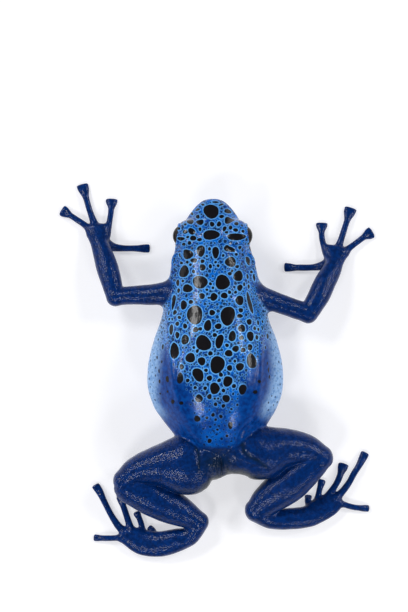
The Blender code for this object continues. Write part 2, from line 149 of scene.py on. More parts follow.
class Digit(NamedTuple):
    """A finger or toe: its centreline seen from above and its half widths."""

    path: tuple[tuple[float, float], ...]
    base: float
    shaft: float
    pad: float


class Spot(NamedTuple):
    """A black spot seen from straight above, in photo pixels, its top leaning right by turn."""

    x: float
    y: float
    wide: float
    long: float
    turn: float = 0.0


class Fade(NamedTuple):
    """A smooth change from 0 at its start to 1 at its end, whichever of the two is higher."""

    start: float
    end: float

    def over(self, value: Array) -> Array:
        """How far the change has come at each value, from 0 to 1."""
        return ramp(value, self.start, self.end)


def rows_of(kind: type, *rows: tuple) -> list:
    """Rows of numbers as records of one kind."""
    return [kind(*row) for row in rows]


BODY = rows_of(
    Section,
    (-26.75, 0.66, 0.7, 0.6, 4.75, 5.2, 4.25), (-26.5, 0.66, 1.45, 1.25, 4.7, 5.65, 3.7),
    (-25.9, 0.66, 2.2, 1.9, 4.6, 6.15, 3.2), (-24.9, 0.66, 3.1, 2.6, 4.5, 6.75, 2.7),
    (-23.6, 0.67, 3.95, 3.25, 4.5, 7.35, 2.35), (-21.3, 0.68, 4.95, 4, 4.6, 8.15, 2.05),
    (-19, 0.66, 5.7, 4.6, 4.7, 8.8, 1.9), (-16.8, 0.58, 6.25, 5.3, 4.8, 9.35, 1.8),
    (-14, 0.48, 6.7, 5.8, 4.9, 10.15, 1.45), (-11, 0.42, 7.25, 6.45, 4.9, 11.1, 1.05),
    (-8, 0.32, 7.9, 7.25, 4.85, 12, 0.55), (-4.6, 0.28, 9.15, 8.05, 4.8, 12.85, 0.05),
    (-1, 0.27, 10, 8.6, 4.75, 13.3, -0.12), (2.6, 0.26, 10.1, 8.5, 4.75, 13.1, -0.12),
    (5.4, 0.22, 9.3, 7.8, 4.8, 12.4, 0), (7.6, 0.12, 8, 6.8, 4.9, 11.6, 0.3),
    (9.7, 0, 6.5, 5.6, 5, 10.55, 0.8), (11.6, -0.15, 5.3, 4.4, 5, 9.35, 1.35),
    (13.3, -0.35, 4.3, 3.4, 5, 7.9, 2.1), (14.8, -0.6, 3, 2.4, 5, 6.6, 3.1),
    (15.5, -0.8, 1.5, 1.2, 5, 5.7, 4.1),
)

UPPER_ARM = {
    "left": rows_of(
        Station,
        (4.9, -12.55, 5.6, 2, 1.95), (8.2, -12.05, 5.2, 1.78, 1.65), (10.9, -11.85, 4.7, 1.58, 1.5),
        (14, -11.75, 4.1, 1.42, 1.45), (15.8, -11.55, 3.7, 1.45, 1.5),
    ),
    "right": rows_of(
        Station,
        (-4.4, -12.45, 5.6, 1.95, 1.95), (-7, -11.5, 5.2, 1.68, 1.65),
        (-9.2, -10.7, 4.7, 1.55, 1.5), (-11.5, -9.9, 4.2, 1.5, 1.5), (-14.25, -8.95, 3.7, 1.5, 1.5),
    ),
}
FOREARM = {
    "left": rows_of(
        Station,
        (17.05, -16, 2.9, 1.72, 1.5), (17.95, -18.7, 2.1, 1.5, 1.25),
        (18.35, -19.9, 1.7, 1.38, 1.05),
    ),
    "right": rows_of(
        Station,
        (-15.8, -11.6, 3.3, 1.7, 1.6), (-16.8, -13.7, 2.8, 1.7, 1.5),
        (-17.9, -15.7, 2.1, 1.5, 1.25), (-18.35, -16.9, 1.7, 1.38, 1.05),
    ),
}
PALM = {
    "left": rows_of(
        Station,
        (18.45, -21.2, 1.05, 1.9, 0.95), (18.6, -22.45, 0.8, 1.9, 0.82),
    ),
    "right": rows_of(
        Station,
        (-18.5, -18.2, 1.05, 2, 0.95), (-18.7, -19, 0.8, 2.1, 0.82),
    ),
}
FINGERS = {
    "left": rows_of(
        Digit,
        (
            ((17.6, -19.9), (16.2, -19.3), (14.5, -19.12), (12.75, -19.1), (10.72, -19.1)),
            1.1, 0.5, 0.68,
        ),
        (
            ((17.5, -21.4), (16.95, -22.55), (16.6, -24.3), (16.48, -25.5), (16.43, -26.62)),
            0.8, 0.46, 0.93,
        ),
        (
            ((18.7, -21.6), (19.15, -22.9), (19.85, -25.05), (20.55, -27.4), (21, -28.9)),
            0.85, 0.48, 0.95,
        ),
        (
            ((19.4, -21.6), (20.55, -22.7), (22.1, -23.75), (23.05, -24.35), (24.08, -24.98)),
            0.75, 0.46, 0.88,
        ),
    ),
    "right": rows_of(
        Digit,
        (
            ((-17.6, -16.8), (-16.05, -16.3), (-14.3, -16.1), (-12.75, -16.1), (-10.75, -16.15)),
            1.05, 0.5, 0.7,
        ),
        (
            ((-17.5, -17.9), (-16.85, -19), (-16.4, -20.55), (-16.32, -21.8), (-16.35, -22.9)),
            0.8, 0.46, 0.92,
        ),
        (
            ((-18.7, -18.1), (-19, -19.4), (-19.65, -21.4), (-20.25, -23.35), (-20.85, -25.25)),
            0.85, 0.48, 0.98,
        ),
        (
            ((-19.4, -18.2), (-20.85, -19.3), (-22.1, -20.25), (-23.05, -20.95), (-24.08, -21.56)),
            0.78, 0.46, 0.94,
        ),
    ),
}

THIGH = {
    "left": rows_of(
        Station,
        (1.9, 13.5, 5.2, 3.6, 3.5), (3.4, 14, 5.2, 4.75, 3.75), (5.5, 14.5, 5.1, 4.8, 3.8),
        (9.5, 14.75, 4.8, 3.1, 3.05), (12.55, 15.6, 4.4, 2.25, 2.4), (14.3, 17.1, 4, 1.85, 1.9),
    ),
    "right": rows_of(
        Station,
        (-3, 12.7, 5.3, 3.35, 3.7), (-4.9, 12.5, 5.2, 4.05, 3.8), (-7.2, 12.6, 5.1, 4.25, 3.6),
        (-10.6, 11.95, 4.8, 3.12, 3), (-13.7, 12.2, 4.4, 2.45, 2.4), (-16.15, 13.5, 4, 1.95, 1.9),
    ),
}
SHANK = {
    "left": rows_of(
        Station,
        (13.8, 18.1, 3.85, 2.3, 2.2), (12.5, 18.75, 3.7, 2.55, 2.4), (10.35, 19.6, 3.5, 2.88, 2.65),
        (7.95, 20.8, 3.2, 2.78, 2.5), (5.6, 21.95, 2.8, 2.38, 2.1), (3.85, 22.95, 2.3, 1.85, 1.75),
        (2.9, 23.6, 2, 1.6, 1.6),
    ),
    "right": rows_of(
        Station,
        (-14.1, 15.25, 3.7, 2.5, 2.4), (-11.15, 17.55, 3.4, 2.98, 2.65),
        (-7.95, 20, 2.8, 2.48, 2.2), (-6.15, 21.75, 2.2, 1.85, 1.75),
    ),
}
TARSUS = {
    "left": rows_of(
        Station,
        (4.2, 25.65, 1.55, 1.5, 1.45), (6.4, 26.45, 1.4, 1.85, 1.4), (8.85, 27, 1.2, 2, 1.22),
    ),
    "right": rows_of(
        Station,
        (-8.55, 23.05, 1.55, 1.62, 1.45), (-11.35, 23.05, 1.4, 1.68, 1.38),
        (-14, 22.75, 1.2, 1.7, 1.22),
    ),
}
SOLE = {
    "left": rows_of(
        Station,
        (11.2, 26.85, 1, 2, 1.03), (13.2, 26.05, 0.85, 1.75, 0.9), (14.7, 25.6, 0.7, 1.2, 0.75),
    ),
    "right": rows_of(
        Station,
        (-16, 21.75, 1, 1.85, 1.03), (-17.9, 20.8, 0.85, 1.62, 0.9), (-19, 20.25, 0.7, 1.15, 0.75),
    ),
}
TOES = {
    "left": rows_of(
        Digit,
        (((10.95, 26.3), (10.15, 25.7), (9.95, 25), (10.5, 24.5)), 0.65, 0.48, 0.5),
        (((11.65, 25.35), (11.75, 24.25), (12.05, 23.2), (12.5, 22.2)), 0.65, 0.47, 0.6),
        (
            ((13.35, 25.05), (13.7, 23.8), (14.25, 22.2), (14.7, 20.85), (15.08, 19.68)),
            0.7, 0.5, 0.68,
        ),
        (
            ((14.1, 25.4), (15.3, 24.3), (16.5, 22.5), (17.5, 20.55), (18.25, 19), (18.9, 17.98)),
            0.72, 0.49, 0.66,
        ),
        (
            ((14.05, 25.85), (15.5, 26.05), (16.95, 26.12), (18.2, 26.1), (19.02, 26.05)),
            0.7, 0.45, 0.56,
        ),
    ),
    "right": rows_of(
        Digit,
        (((-14.6, 21.4), (-14.2, 20.5), (-14.25, 19.6)), 0.65, 0.5, 0.58),
        (((-15.4, 21), (-15.75, 19.6), (-16.05, 18.35), (-16.38, 17.2)), 0.65, 0.48, 0.62),
        (
            ((-16.7, 20.25), (-17.8, 18.85), (-18.8, 17.25), (-19.4, 15.7), (-19.72, 14.68)),
            0.7, 0.5, 0.84,
        ),
        (
            (
                (-18, 20.3), (-19.3, 19.15), (-20.45, 17.7),
                (-21.4, 16), (-22.35, 14.45), (-23.08, 12.95),
            ),
            0.74, 0.5, 0.68,
        ),
        (
            ((-18.1, 20.4), (-19.6, 20.8), (-21, 21.2), (-22.25, 21.4), (-23.55, 21.47)),
            0.68, 0.45, 0.54,
        ),
    ),
}

SPOTS = rows_of(
    Spot,
    (210.9, 210.7, 15.4, 14.1), (228.3, 210.4, 8.4, 4.9, 12), (196.5, 209.1, 5.4, 3),
    (196.8, 216.3, 4.4, 4), (221.9, 215.7, 5, 3.7), (229.4, 219.6, 9.8, 7.6, -15),
    (190.8, 220.4, 7.4, 7.4), (200.8, 222, 7.4, 5.7), (211.7, 223.4, 5, 5),
    (219.1, 223.6, 4.7, 5.3), (236.8, 222.8, 4.4, 4.4), (184.5, 223.8, 3.4, 2.7),
    (211.4, 234.2, 16.4, 10), (192.8, 230.8, 6, 8, -40), (200.5, 228.5, 3.4, 4),
    (223.9, 228.1, 3.8, 5.8, 25), (230.3, 226.8, 4, 4.4), (225.6, 231.8, 4, 2.7),
    (236.3, 229.6, 5.2, 3.8), (243.6, 230.8, 3.7, 3), (184.4, 231.8, 4.7, 4.4),
    (177.7, 227.8, 3.3, 3), (186.8, 237.2, 3.3, 2.7), (237, 237.8, 18, 7.4), (193.8, 239.2, 6.7, 5),
    (200.8, 240.2, 5, 3.7), (180, 239.2, 7.4, 4), (189.8, 244.2, 4, 4), (183, 245.5, 3.7, 3.3),
    (200.5, 250.2, 8.7, 11.2, 12), (216.2, 251.9, 6.9, 11.9, -6), (230, 248.8, 11.8, 5.6, 13),
    (227.2, 247.8, 6, 6.4), (240.6, 248.5, 3.3, 4.4), (187, 253.9, 10.2, 9.8),
    (209.2, 247.9, 3.3, 3.7), (231.3, 261.3, 10.4, 10.9), (237.3, 254.2, 3.7, 3),
    (223.9, 254.8, 3, 3.3), (207.2, 254.9, 2.7, 2.7), (193.4, 259.9, 7.4, 4.4),
    (202.5, 260.3, 4, 4), (181, 262.3, 3.3, 3), (186, 262.3, 3.3, 3), (248.3, 260.9, 6, 10, -10),
    (202.1, 267.3, 6.5, 6.5), (182.7, 271.3, 9.2, 12.8, 12), (192.8, 271, 3.3, 4),
    (218.9, 265, 3.3, 3.3), (216.2, 261.3, 3, 3), (209.8, 265.3, 3.7, 4.7), (238.3, 266.6, 4, 3.3),
    (199.1, 282, 14.4, 13.5), (222.6, 281.3, 15.2, 14.4), (239.3, 276, 9, 11.2),
    (230.3, 273.3, 4.4, 3.7), (232.3, 270, 3, 3), (186.4, 288.4, 9.4, 8.6),
    (176.7, 282.7, 3.7, 6.7), (240.6, 287.7, 5.4, 6.7), (248.3, 276.7, 2.7, 5.4),
    (252, 271.3, 3.7, 3), (254.7, 277, 2.7, 8), (201.1, 295.4, 6.2, 6.2), (214.9, 296.4, 7.4, 8),
    (224.8, 295.2, 6.6, 6.4), (240.5, 299.6, 8.6, 9.4), (177.4, 290.7, 3.3, 5),
    (209.8, 282.7, 3.3, 3.3), (212.9, 286.7, 3, 3), (206.5, 288.7, 3, 3), (229.9, 291.4, 3.7, 3.7),
    (236, 291.4, 3.3, 3.3), (207.5, 297.4, 2.6, 2.6), (189.8, 264.6, 3, 3), (181.7, 280.7, 3, 3),
    (256.4, 267, 2, 5.4), (179, 256, 3, 4), (249.3, 286.7, 2.5, 5), (245, 284.4, 2.5, 4),
    (250.9, 303, 4.2, 23, -15), (172.9, 301.6, 4.4, 15.6, 9), (182.6, 304.7, 6.7, 9),
    (190.6, 300.7, 4.5, 4.5), (193.8, 314.6, 16.2, 18.4, 12), (228.6, 315.4, 14.7, 18.8),
    (211.6, 311.4, 5.8, 6.2), (207.1, 324.8, 8, 10.8, 8), (219.2, 325.7, 6.8, 6.3),
    (241.5, 309.6, 5, 4.5), (241, 315.9, 6.3, 4), (242.4, 327.5, 7.1, 8), (250, 321.7, 5.4, 5.8),
    (174.1, 311.9, 4.5, 5.4, 20), (178.4, 317.2, 3.6, 3.6), (176.5, 323.8, 4.5, 4.5),
    (170.7, 328.4, 4.5, 11.2), (184.4, 325.7, 4.5, 5.4), (194.9, 329.3, 5.8, 5.4),
    (199.8, 327.5, 4, 4), (176.8, 334.2, 4.5, 6.7), (184.8, 338.7, 7.6, 10.3),
    (203.1, 341.8, 14.3, 16.4, -20), (220.1, 340.4, 8.2, 13.8, 12), (214.3, 333.8, 4.5, 4.5),
    (233, 335.5, 7.6, 10.5, 14), (242, 336.9, 5, 4.5), (250.7, 335, 6.7, 10.3),
    (250.4, 346.3, 5.4, 6.3), (244.2, 348.9, 5, 5), (193.3, 346.3, 3.2, 3.2),
    (196, 350.7, 3.6, 3.6), (173.4, 350.7, 8.5, 17), (229.5, 352.5, 8.2, 6.7),
    (236.2, 348, 6.7, 6.7), (227.7, 344.9, 4, 4), (209.4, 352.9, 5, 4.5), (189.7, 356.5, 9.4, 10.3),
    (201.2, 360, 8, 8.1), (216.5, 364.1, 14.8, 17), (252.2, 360, 9.2, 15.8, -8),
    (229.9, 368.6, 5.8, 5.8), (240.6, 366.3, 8, 8.1), (181.3, 365.4, 4.5, 5.8),
    (235.3, 360, 3.2, 3.2), (204.9, 369.5, 4, 4), (196.9, 374.4, 10.8, 13.8, -22),
    (179.5, 378.4, 6.3, 11.2), (166.3, 379.1, 4, 6.7), (208, 378.2, 5.8, 5.4), (187, 380, 4, 4),
    (221.4, 374.8, 4.5, 4.5), (219.6, 380.2, 4, 4), (229, 380.6, 8.8, 11.4, 25),
    (213.8, 388.2, 10.3, 11.2), (234.8, 385.5, 4.5, 4.5), (243.3, 388.7, 7.6, 10.4, 25),
    (204, 388.2, 4, 4), (194.2, 387.8, 3.6, 3.6), (224.1, 390.4, 4, 4), (255.8, 391.8, 5, 4),
    (260.3, 381.5, 3.6, 3.6), (198.5, 398.4, 8, 7.6), (209.4, 396.9, 4.6, 5.6),
    (226.9, 398, 7.6, 7.7), (171.8, 401.2, 4, 4.6), (180.5, 403, 4, 4), (215.5, 404.8, 3.9, 3.9),
    (224.2, 406.1, 3.9, 3.9), (196.9, 418.9, 6.1, 6.6), (212.4, 414.8, 3.9, 3.7),
    (206.5, 417.8, 3, 3), (221.6, 416.3, 3.7, 3.7), (216.3, 419.6, 2.9, 2.9),
    (217, 429.6, 2.6, 2.6), (230.6, 425.7, 5, 7), (208.9, 441, 4, 4.6), (232.3, 408.9, 2.6, 2.6),
    (237.8, 405.3, 2.6, 2.6), (215, 399.2, 2.6, 2.6), (218.6, 399, 2.6, 2.6), (227.2, 436.4, 3, 3),
    (162, 346.3, 2.7, 5.8), (156.3, 356.5, 2.2, 3.6), (160.9, 361, 2, 3.5),
    (158.2, 370.8, 2.2, 4.5), (158.8, 381.8, 2.4, 4), (159.4, 392.7, 2, 2), (269.2, 369.5, 2, 5),
    (270, 376.6, 1.9, 4), (268.3, 362.8, 2, 3), (268.3, 335.5, 3.6, 5.6), (266, 347, 2, 4),
    (263.2, 327.5, 2.5, 5), (258.5, 322, 3, 5), (263, 320.8, 2.5, 4), (255.4, 327.5, 3.5, 4),
    (259, 328.8, 2.5, 4), (257.6, 336.9, 3, 5), (168.3, 312.3, 2.5, 5), (168.3, 318.6, 2.5, 3.5),
    (171.4, 319, 2.5, 3), (179.4, 220.8, 3, 3), (190.8, 213.4, 5, 3, 40), (201.5, 205, 5, 2, 30),
    (222.6, 204, 5.5, 2.2, -20), (215.9, 201, 7, 2), (167, 391, 2.5, 2.5),
)

# How far the spotted blue reaches at each place along the back, as rows of y and the x of its left
# and right edge, in photo pixels.
SADDLE = (
    (300, 156, 274), (340, 162, 267), (352, 167, 261), (362, 172, 256), (372, 180, 251),
    (382, 186, 246), (392, 189, 240), (402, 191, 238), (415, 195, 239), (430, 199, 238),
    (440, 201, 236), (446, 205, 231), (449, 210, 226), (451, 214, 222),
)

# The same for the pale skin of the flanks: it starts outside these edges.
FLANKS = (
    (240, 160, 272), (262, 168, 258), (300, 165, 262), (325, 164, 266), (350, 161, 271),
    (370, 158.5, 273), (390, 157, 270), (402, 158, 265), (415, 167, 260), (424, 166, 264),
    (430, 158, 274),
)

# The two low ridges of the lower back and the creases that part the thighs from the trunk.
BACK_RIDGES = (
    ((167.5, 322), (170, 345), (172, 365), (175, 385), (180, 402)),
    ((262, 322), (260.5, 345), (259.5, 365), (259, 385), (256, 402)),
)
GROIN_CREASES = (
    ((173.7, 433.9), (184.9, 434.9), (195, 443), (199, 455), (199, 468)),
    ((265, 423), (248, 426), (240, 437), (244, 451), (251, 457), (259, 461), (266, 466)),
)

DIGIT_ROOT_Z = 0.80
DIGIT_SHAFT_Z = 0.62
DIGIT_PAD_Z = 0.28
DIGIT_PAD_HIGH = 0.36
DIGIT_FLATNESS = 0.92
DIGIT_TIP = 0.27
DIGIT_SQUARENESS = 2.6
DIGIT_STEPS = 4
DIGIT_ROOT_END = 0.5
DIGIT_SPREAD = Fade(0.72, 0.97)

EYE_RADIUS = 1.8
EYE_SPREAD = 4.4
EYE_Y = -21.0
EYE_Z = 6.35


def through(points: Sequence[tuple], steps: int) -> list[tuple]:
    """Follows a smooth curve through the given points.

    Args:
        points: the points, as tuples of numbers of one kind.
        steps: how many spans to make between each two.

    Returns:
        The points of the curve, of the same kind, the last one included.
    """
    kind = type(points[0])
    first = tuple(2 * a - b for a, b in zip(points[0], points[1]))
    last = tuple(2 * a - b for a, b in zip(points[-1], points[-2]))
    line = [first, *points, last]
    found = []
    for k in range(1, len(line) - 2):
        for step in range(steps):
            t = step / steps
            weights = (
                -0.5 * t + t * t - 0.5 * t**3,
                1 - 2.5 * t * t + 1.5 * t**3,
                0.5 * t + 2 * t * t - 1.5 * t**3,
                -0.5 * t * t + 0.5 * t**3,
            )
            near = line[k - 1 : k + 3]
            values = [sum(w * p[n] for w, p in zip(weights, near)) for n in range(len(first))]
            found.append(tuple(values) if kind is tuple else kind(*values))
    found.append(points[-1])
    return found


def ramp(value: Array, low: float, high: float) -> Array:
    """Rises smoothly from 0 at low to 1 at high."""
    t = np.clip((value - low) / (high - low), 0.0, 1.0)
    return t * t * (3 - 2 * t)


def bump(value: Array, width: float) -> Array:
    """A bell of height 1 round 0."""
    return np.exp(-((value / width) ** 2))


def melt(a: Array, b: Array, width: float) -> Array:
    """The lower of two distances, rounded where they are within width of each other."""
    near = np.maximum(width - np.abs(a - b), 0.0)
    return np.minimum(a, b) - near * near / (4 * width)


def from_photo(x: Array, y: Array) -> tuple[Array, Array]:
    """Photo pixels as millimetres across and along."""
    return (ORIGIN_PIXEL[0] - x) * MM_PER_PIXEL, (y - ORIGIN_PIXEL[1]) * MM_PER_PIXEL


def to_photo(points: Array) -> tuple[Array, Array]:
    """Millimetres across and along as photo pixels."""
    across, along = points[:, 0] / MM_PER_PIXEL, points[:, 1] / MM_PER_PIXEL
    return ORIGIN_PIXEL[0] - across, ORIGIN_PIXEL[1] + along


def linked(name: str, data: bpy.types.ID) -> bpy.types.Object:
    """Puts a new object that shows some data into the scene.

    Args:
        name: the object's name.
        data: its mesh, lamp or camera.

    Returns:
        The object.
    """
    made = bpy.data.objects.new(name, data)
    bpy.context.scene.collection.objects.link(made)
    return made


class Form(Protocol):
    """Anything that knows how far points are from its skin."""

    def bounds(self) -> tuple[Array, Array]:
        """The corners of the box that holds the form."""

    def distance(self, x: Array, y: Array, z: Array) -> Array:
        """The distance to the form's skin, below 0 inside."""


class BodyForm:
    """The head and trunk as one run of cross-sections, each an oval belly and a squarer back."""

    BOX = ((-10.5, -27.2, -0.6), (11.2, 16.2, 13.9))
    STEPS = 16
    SLOPE_STEP = 0.15
    JOINING = 7.0
    BELLY_CROWN = 0.54
    BACK_SQUARENESS = 2.5
    BACK_DROP = 0.9

    def __init__(self) -> None:
        """Spreads the sections into close tables along the body."""
        fine = through(BODY, self.STEPS)
        self.at = np.array([section.y for section in fine])
        self.sizes = [np.array([section[n] for section in fine]) for n in range(1, 7)]

    def bounds(self) -> tuple[Array, Array]:
        """The corners of the box that holds the body."""
        return np.array(self.BOX[0]), np.array(self.BOX[1])

    def section(self, y: Array) -> list[Array]:
        """The body's centre, half widths and heights at places along it."""
        return [np.interp(y, self.at, size).astype(np.float32) for size in self.sizes]

    def reach(self, across: Array, up: Array, section: list[Array]) -> Array:
        """Finds how far the body reaches in a direction from its middle line.

        Args:
            across: the direction's part across.
            up: its part upward.
            section: the body's sizes at that place, as section gives them.

        Returns:
            The reach, in millimetres.
        """
        _, belly, back, level, top, bottom = section
        above = up > 0
        rise = np.where(above, top - level, (level - bottom) * self.BACK_DROP)
        swell = np.where(above, (top - level) * self.BELLY_CROWN, level - bottom)
        power = np.where(above, self.BACK_SQUARENESS, 2.0)
        squarer = np.abs(across / back) ** power + np.abs(up / rise) ** power
        narrow = (squarer + TINY) ** (-1 / power)
        wide = 1.0 / np.sqrt((across / belly) ** 2 + (up / swell) ** 2 + TINY)
        return (narrow**self.JOINING + wide**self.JOINING) ** (1 / self.JOINING)

    def level_set(self, x: Array, y: Array, z: Array) -> Array:
        """Finds a value that is 0 on the body's skin and grows outward.

        Args:
            x: places across, in millimetres.
            y: places along.
            z: heights.

        Returns:
            The values.
        """
        section = self.section(np.clip(y, self.at[0], self.at[-1]))
        dx, dz = x - section[0], z - section[3]
        out = np.sqrt(dx * dx + dz * dz) + NOT_ZERO
        return out - self.reach(dx / out, dz / out, section)

    def distance(self, x: Array, y: Array, z: Array) -> Array:
        """Finds the distance to the body's skin, below 0 inside.

        Args:
            x: places across, in millimetres.
            y: places along.
            z: heights.

        Returns:
            The distances, in millimetres.
        """
        step = self.SLOPE_STEP
        slopes = []
        for n in (1, 2, 0):
            ahead, behind = [x, y, z], [x, y, z]
            ahead[n], behind[n] = ahead[n] + step, behind[n] - step
            slopes.append((self.level_set(*ahead) - self.level_set(*behind)) / (2 * step))
        steep = np.sqrt(np.maximum(sum(slope**2 for slope in slopes), 1.0))
        beyond = np.abs(y - np.clip(y, self.at[0], self.at[-1]))
        inner = self.level_set(x, y, z) / steep
        return np.where(beyond > 0, np.sqrt(np.maximum(inner, 0) ** 2 + beyond**2), inner)


class TubeForm:
    """A limb segment or digit: elliptical sections along a smooth centreline."""

    FINE = 6
    NEARBY = 1.3
    ROUND_TIP = 0.9
    SETTLING = 0.8
    UP_TO_AHEAD = 8
    ALL_COLUMNS = 14

    def __init__(
        self, stations: Sequence[Station], steps: int, tip: float | None, square: float = 2.0
    ) -> None:
        """Sets up the tables of places, sizes and directions along the tube.

        Args:
            stations: the points given for the tube, its root first.
            steps: straight spans between each two, which find the nearest place along the tube.
            tip: how far the rounded end reaches past the last station; its half width if none.
            square: the end's shape seen from above, 2 for round and more for squarer.
        """
        self.coarse = np.array(through(list(stations), steps), np.float64)
        fine = np.array(through(list(stations), steps * self.FINE), np.float64)
        flow = np.gradient(fine[:, :3], axis=0) * self.FINE
        self.speed = np.linalg.norm(flow, axis=1)
        ahead = flow / self.speed[:, None]
        across = np.cross(ahead, (0.0, 0.0, 1.0))
        across /= np.linalg.norm(across, axis=1)[:, None]
        self.table = np.hstack([fine, ahead, across, np.cross(across, ahead)])
        self.tip = stations[-1].wide * self.ROUND_TIP if tip is None else tip
        self.square = square

    def bounds(self) -> tuple[Array, Array]:
        """The corners of the box that holds the tube."""
        places, reach = self.coarse[:, :3], self.coarse[:, 3:5].max(axis=1)[:, None]
        return (places - reach).min(axis=0), (places + reach).max(axis=0)

    def look_up(self, t: Array, columns: int) -> list[Array]:
        """The table's first columns at places along the tube."""
        at = np.arange(len(self.table))
        return [np.interp(t * self.FINE, at, self.table[:, n]) for n in range(columns)]

    def nearest(self, points: Array) -> tuple[Array, Array]:
        """Finds the place along the tube nearest to each point.

        Args:
            points: the points, in millimetres.

        Returns:
            The places, counted in coarse spans, and how far off the centreline each point is.
        """
        best, place = np.full(len(points), FAR_OFF), np.zeros(len(points))
        for n, (one, two) in enumerate(zip(self.coarse, self.coarse[1:])):
            span = two[:3] - one[:3]
            share = np.clip((points - one[:3]) @ span / (span @ span), 0.0, 1.0)
            off = ((points - one[:3] - share[:, None] * span) ** 2).sum(axis=1)
            closer = off < best
            best = np.where(closer, off, best)
            place = np.where(closer, n + share, place)
        return place, np.sqrt(best)

    def distance(self, x: Array, y: Array, z: Array) -> Array:
        """Finds the distance to the tube's skin, below 0 inside.

        Args:
            x: places across, in millimetres.
            y: places along.
            z: heights.

        Returns:
            The distances, in millimetres, plain estimates where the skin isn't near.
        """
        shape = np.broadcast_shapes(x.shape, y.shape, z.shape)
        everywhere = np.stack([np.broadcast_to(v, shape).ravel() for v in (x, y, z)], axis=1)
        place, off = self.nearest(everywhere)
        widest = self.coarse[:, 3:5].max()
        close = off < widest + self.NEARBY
        found = np.where(close, 0.0, off - widest)
        found[close] = self.measure(everywhere[close], place[close])
        return found.reshape(shape)

    def measure(self, points: Array, place: Array) -> Array:
        """Measures the distance to the tube's skin from points near it.

        Args:
            points: the points, in millimetres.
            place: about where each stands along the tube, which is settled first.

        Returns:
            The distances, in millimetres, below 0 inside.
        """
        last = float(len(self.coarse) - 1)
        speed_at = np.arange(len(self.speed))
        for _ in range(2):
            x, y, z, _, _, ax, ay, az = self.look_up(place, self.UP_TO_AHEAD)
            run = (points[:, 0] - x) * ax + (points[:, 1] - y) * ay + (points[:, 2] - z) * az
            speed = np.interp(place * self.FINE, speed_at, self.speed)
            place = np.clip(place + self.SETTLING * run / speed, 0.0, last)
        row = self.look_up(place, self.ALL_COLUMNS)
        x, y, z, wide, high, ax, ay, az, sx, sy, sz, ux, uy, uz = row
        dx, dy, dz = points[:, 0] - x, points[:, 1] - y, points[:, 2] - z
        at_end = (place <= 0) | (place >= last)
        past = np.where(at_end, dx * ax + dy * ay + dz * az, 0.0)
        end = np.where(place >= last, self.tip, np.minimum(wide, high))
        side = np.abs(dx * sx + dy * sy + dz * sz)
        lift = dx * ux + dy * uy + dz * uz
        flat = (side / wide) ** self.square + np.abs(past / end) ** self.square
        plain = np.where(past == 0, (side / wide) ** 2, flat ** (2 / self.square))
        first = np.sqrt(plain + (lift / high) ** 2) + NOT_ZERO
        steep = (side / wide**2) ** 2 + (lift / high**2) ** 2 + (past / end**2) ** 2
        return first * (first - 1.0) / (np.sqrt(steep) + NOT_ZERO)


@dataclass(frozen=True)
class BallForm:
    """A ball, or an egg where its radii differ."""

    centre: Place
    radii: Place

    def bounds(self) -> tuple[Array, Array]:
        """The corners of the box that holds the ball."""
        return np.array(self.centre) - self.radii, np.array(self.centre) + self.radii

    def distance(self, x: Array, y: Array, z: Array) -> Array:
        """Finds the distance to the ball's skin, below 0 inside.

        Args:
            x: places across, in millimetres.
            y: places along.
            z: heights.

        Returns:
            The distances, in millimetres.
        """
        parts = [(v - c, r) for v, c, r in zip((x, y, z), self.centre, self.radii)]
        first = np.sqrt(sum((d / r) ** 2 for d, r in parts)) + NOT_ZERO
        second = np.sqrt(sum((d / r**2) ** 2 for d, r in parts)) + NOT_ZERO
        return first * (first - 1.0) / second


@dataclass(frozen=True)
class LidOpening:
    """The space that the lids leave open: a flattened cone from the eye's centre outward."""

    centre: Place
    ahead: Place
    half_wide: float = math.radians(50)
    half_high: float = math.radians(51)
    length: float = 5.0

    def bounds(self) -> tuple[Array, Array]:
        """The corners of the box that holds the part of the cone that is used."""
        return np.array(self.centre) - self.length, np.array(self.centre) + self.length

    def distance(self, x: Array, y: Array, z: Array) -> Array:
        """Finds the distance to the cone's side, below 0 inside.

        Args:
            x: places across, in millimetres.
            y: places along.
            z: heights.

        Returns:
            The distances, in millimetres.
        """
        ahead = np.array(self.ahead)
        across = np.cross(ahead, (0.0, 0.0, 1.0))
        across /= np.linalg.norm(across)
        up = np.cross(across, ahead)
        gaps = [v - c for v, c in zip((x, y, z), self.centre)]
        run, side, lift = (
            sum(a * b for a, b in zip(gaps, line)) for line in (ahead, across, up)
        )
        wide, high = math.tan(self.half_wide), math.tan(self.half_high)
        flat = np.sqrt((side / wide) ** 2 + (lift / high) ** 2 + TINY)
        return (flat - run) * math.cos(self.half_high) * high


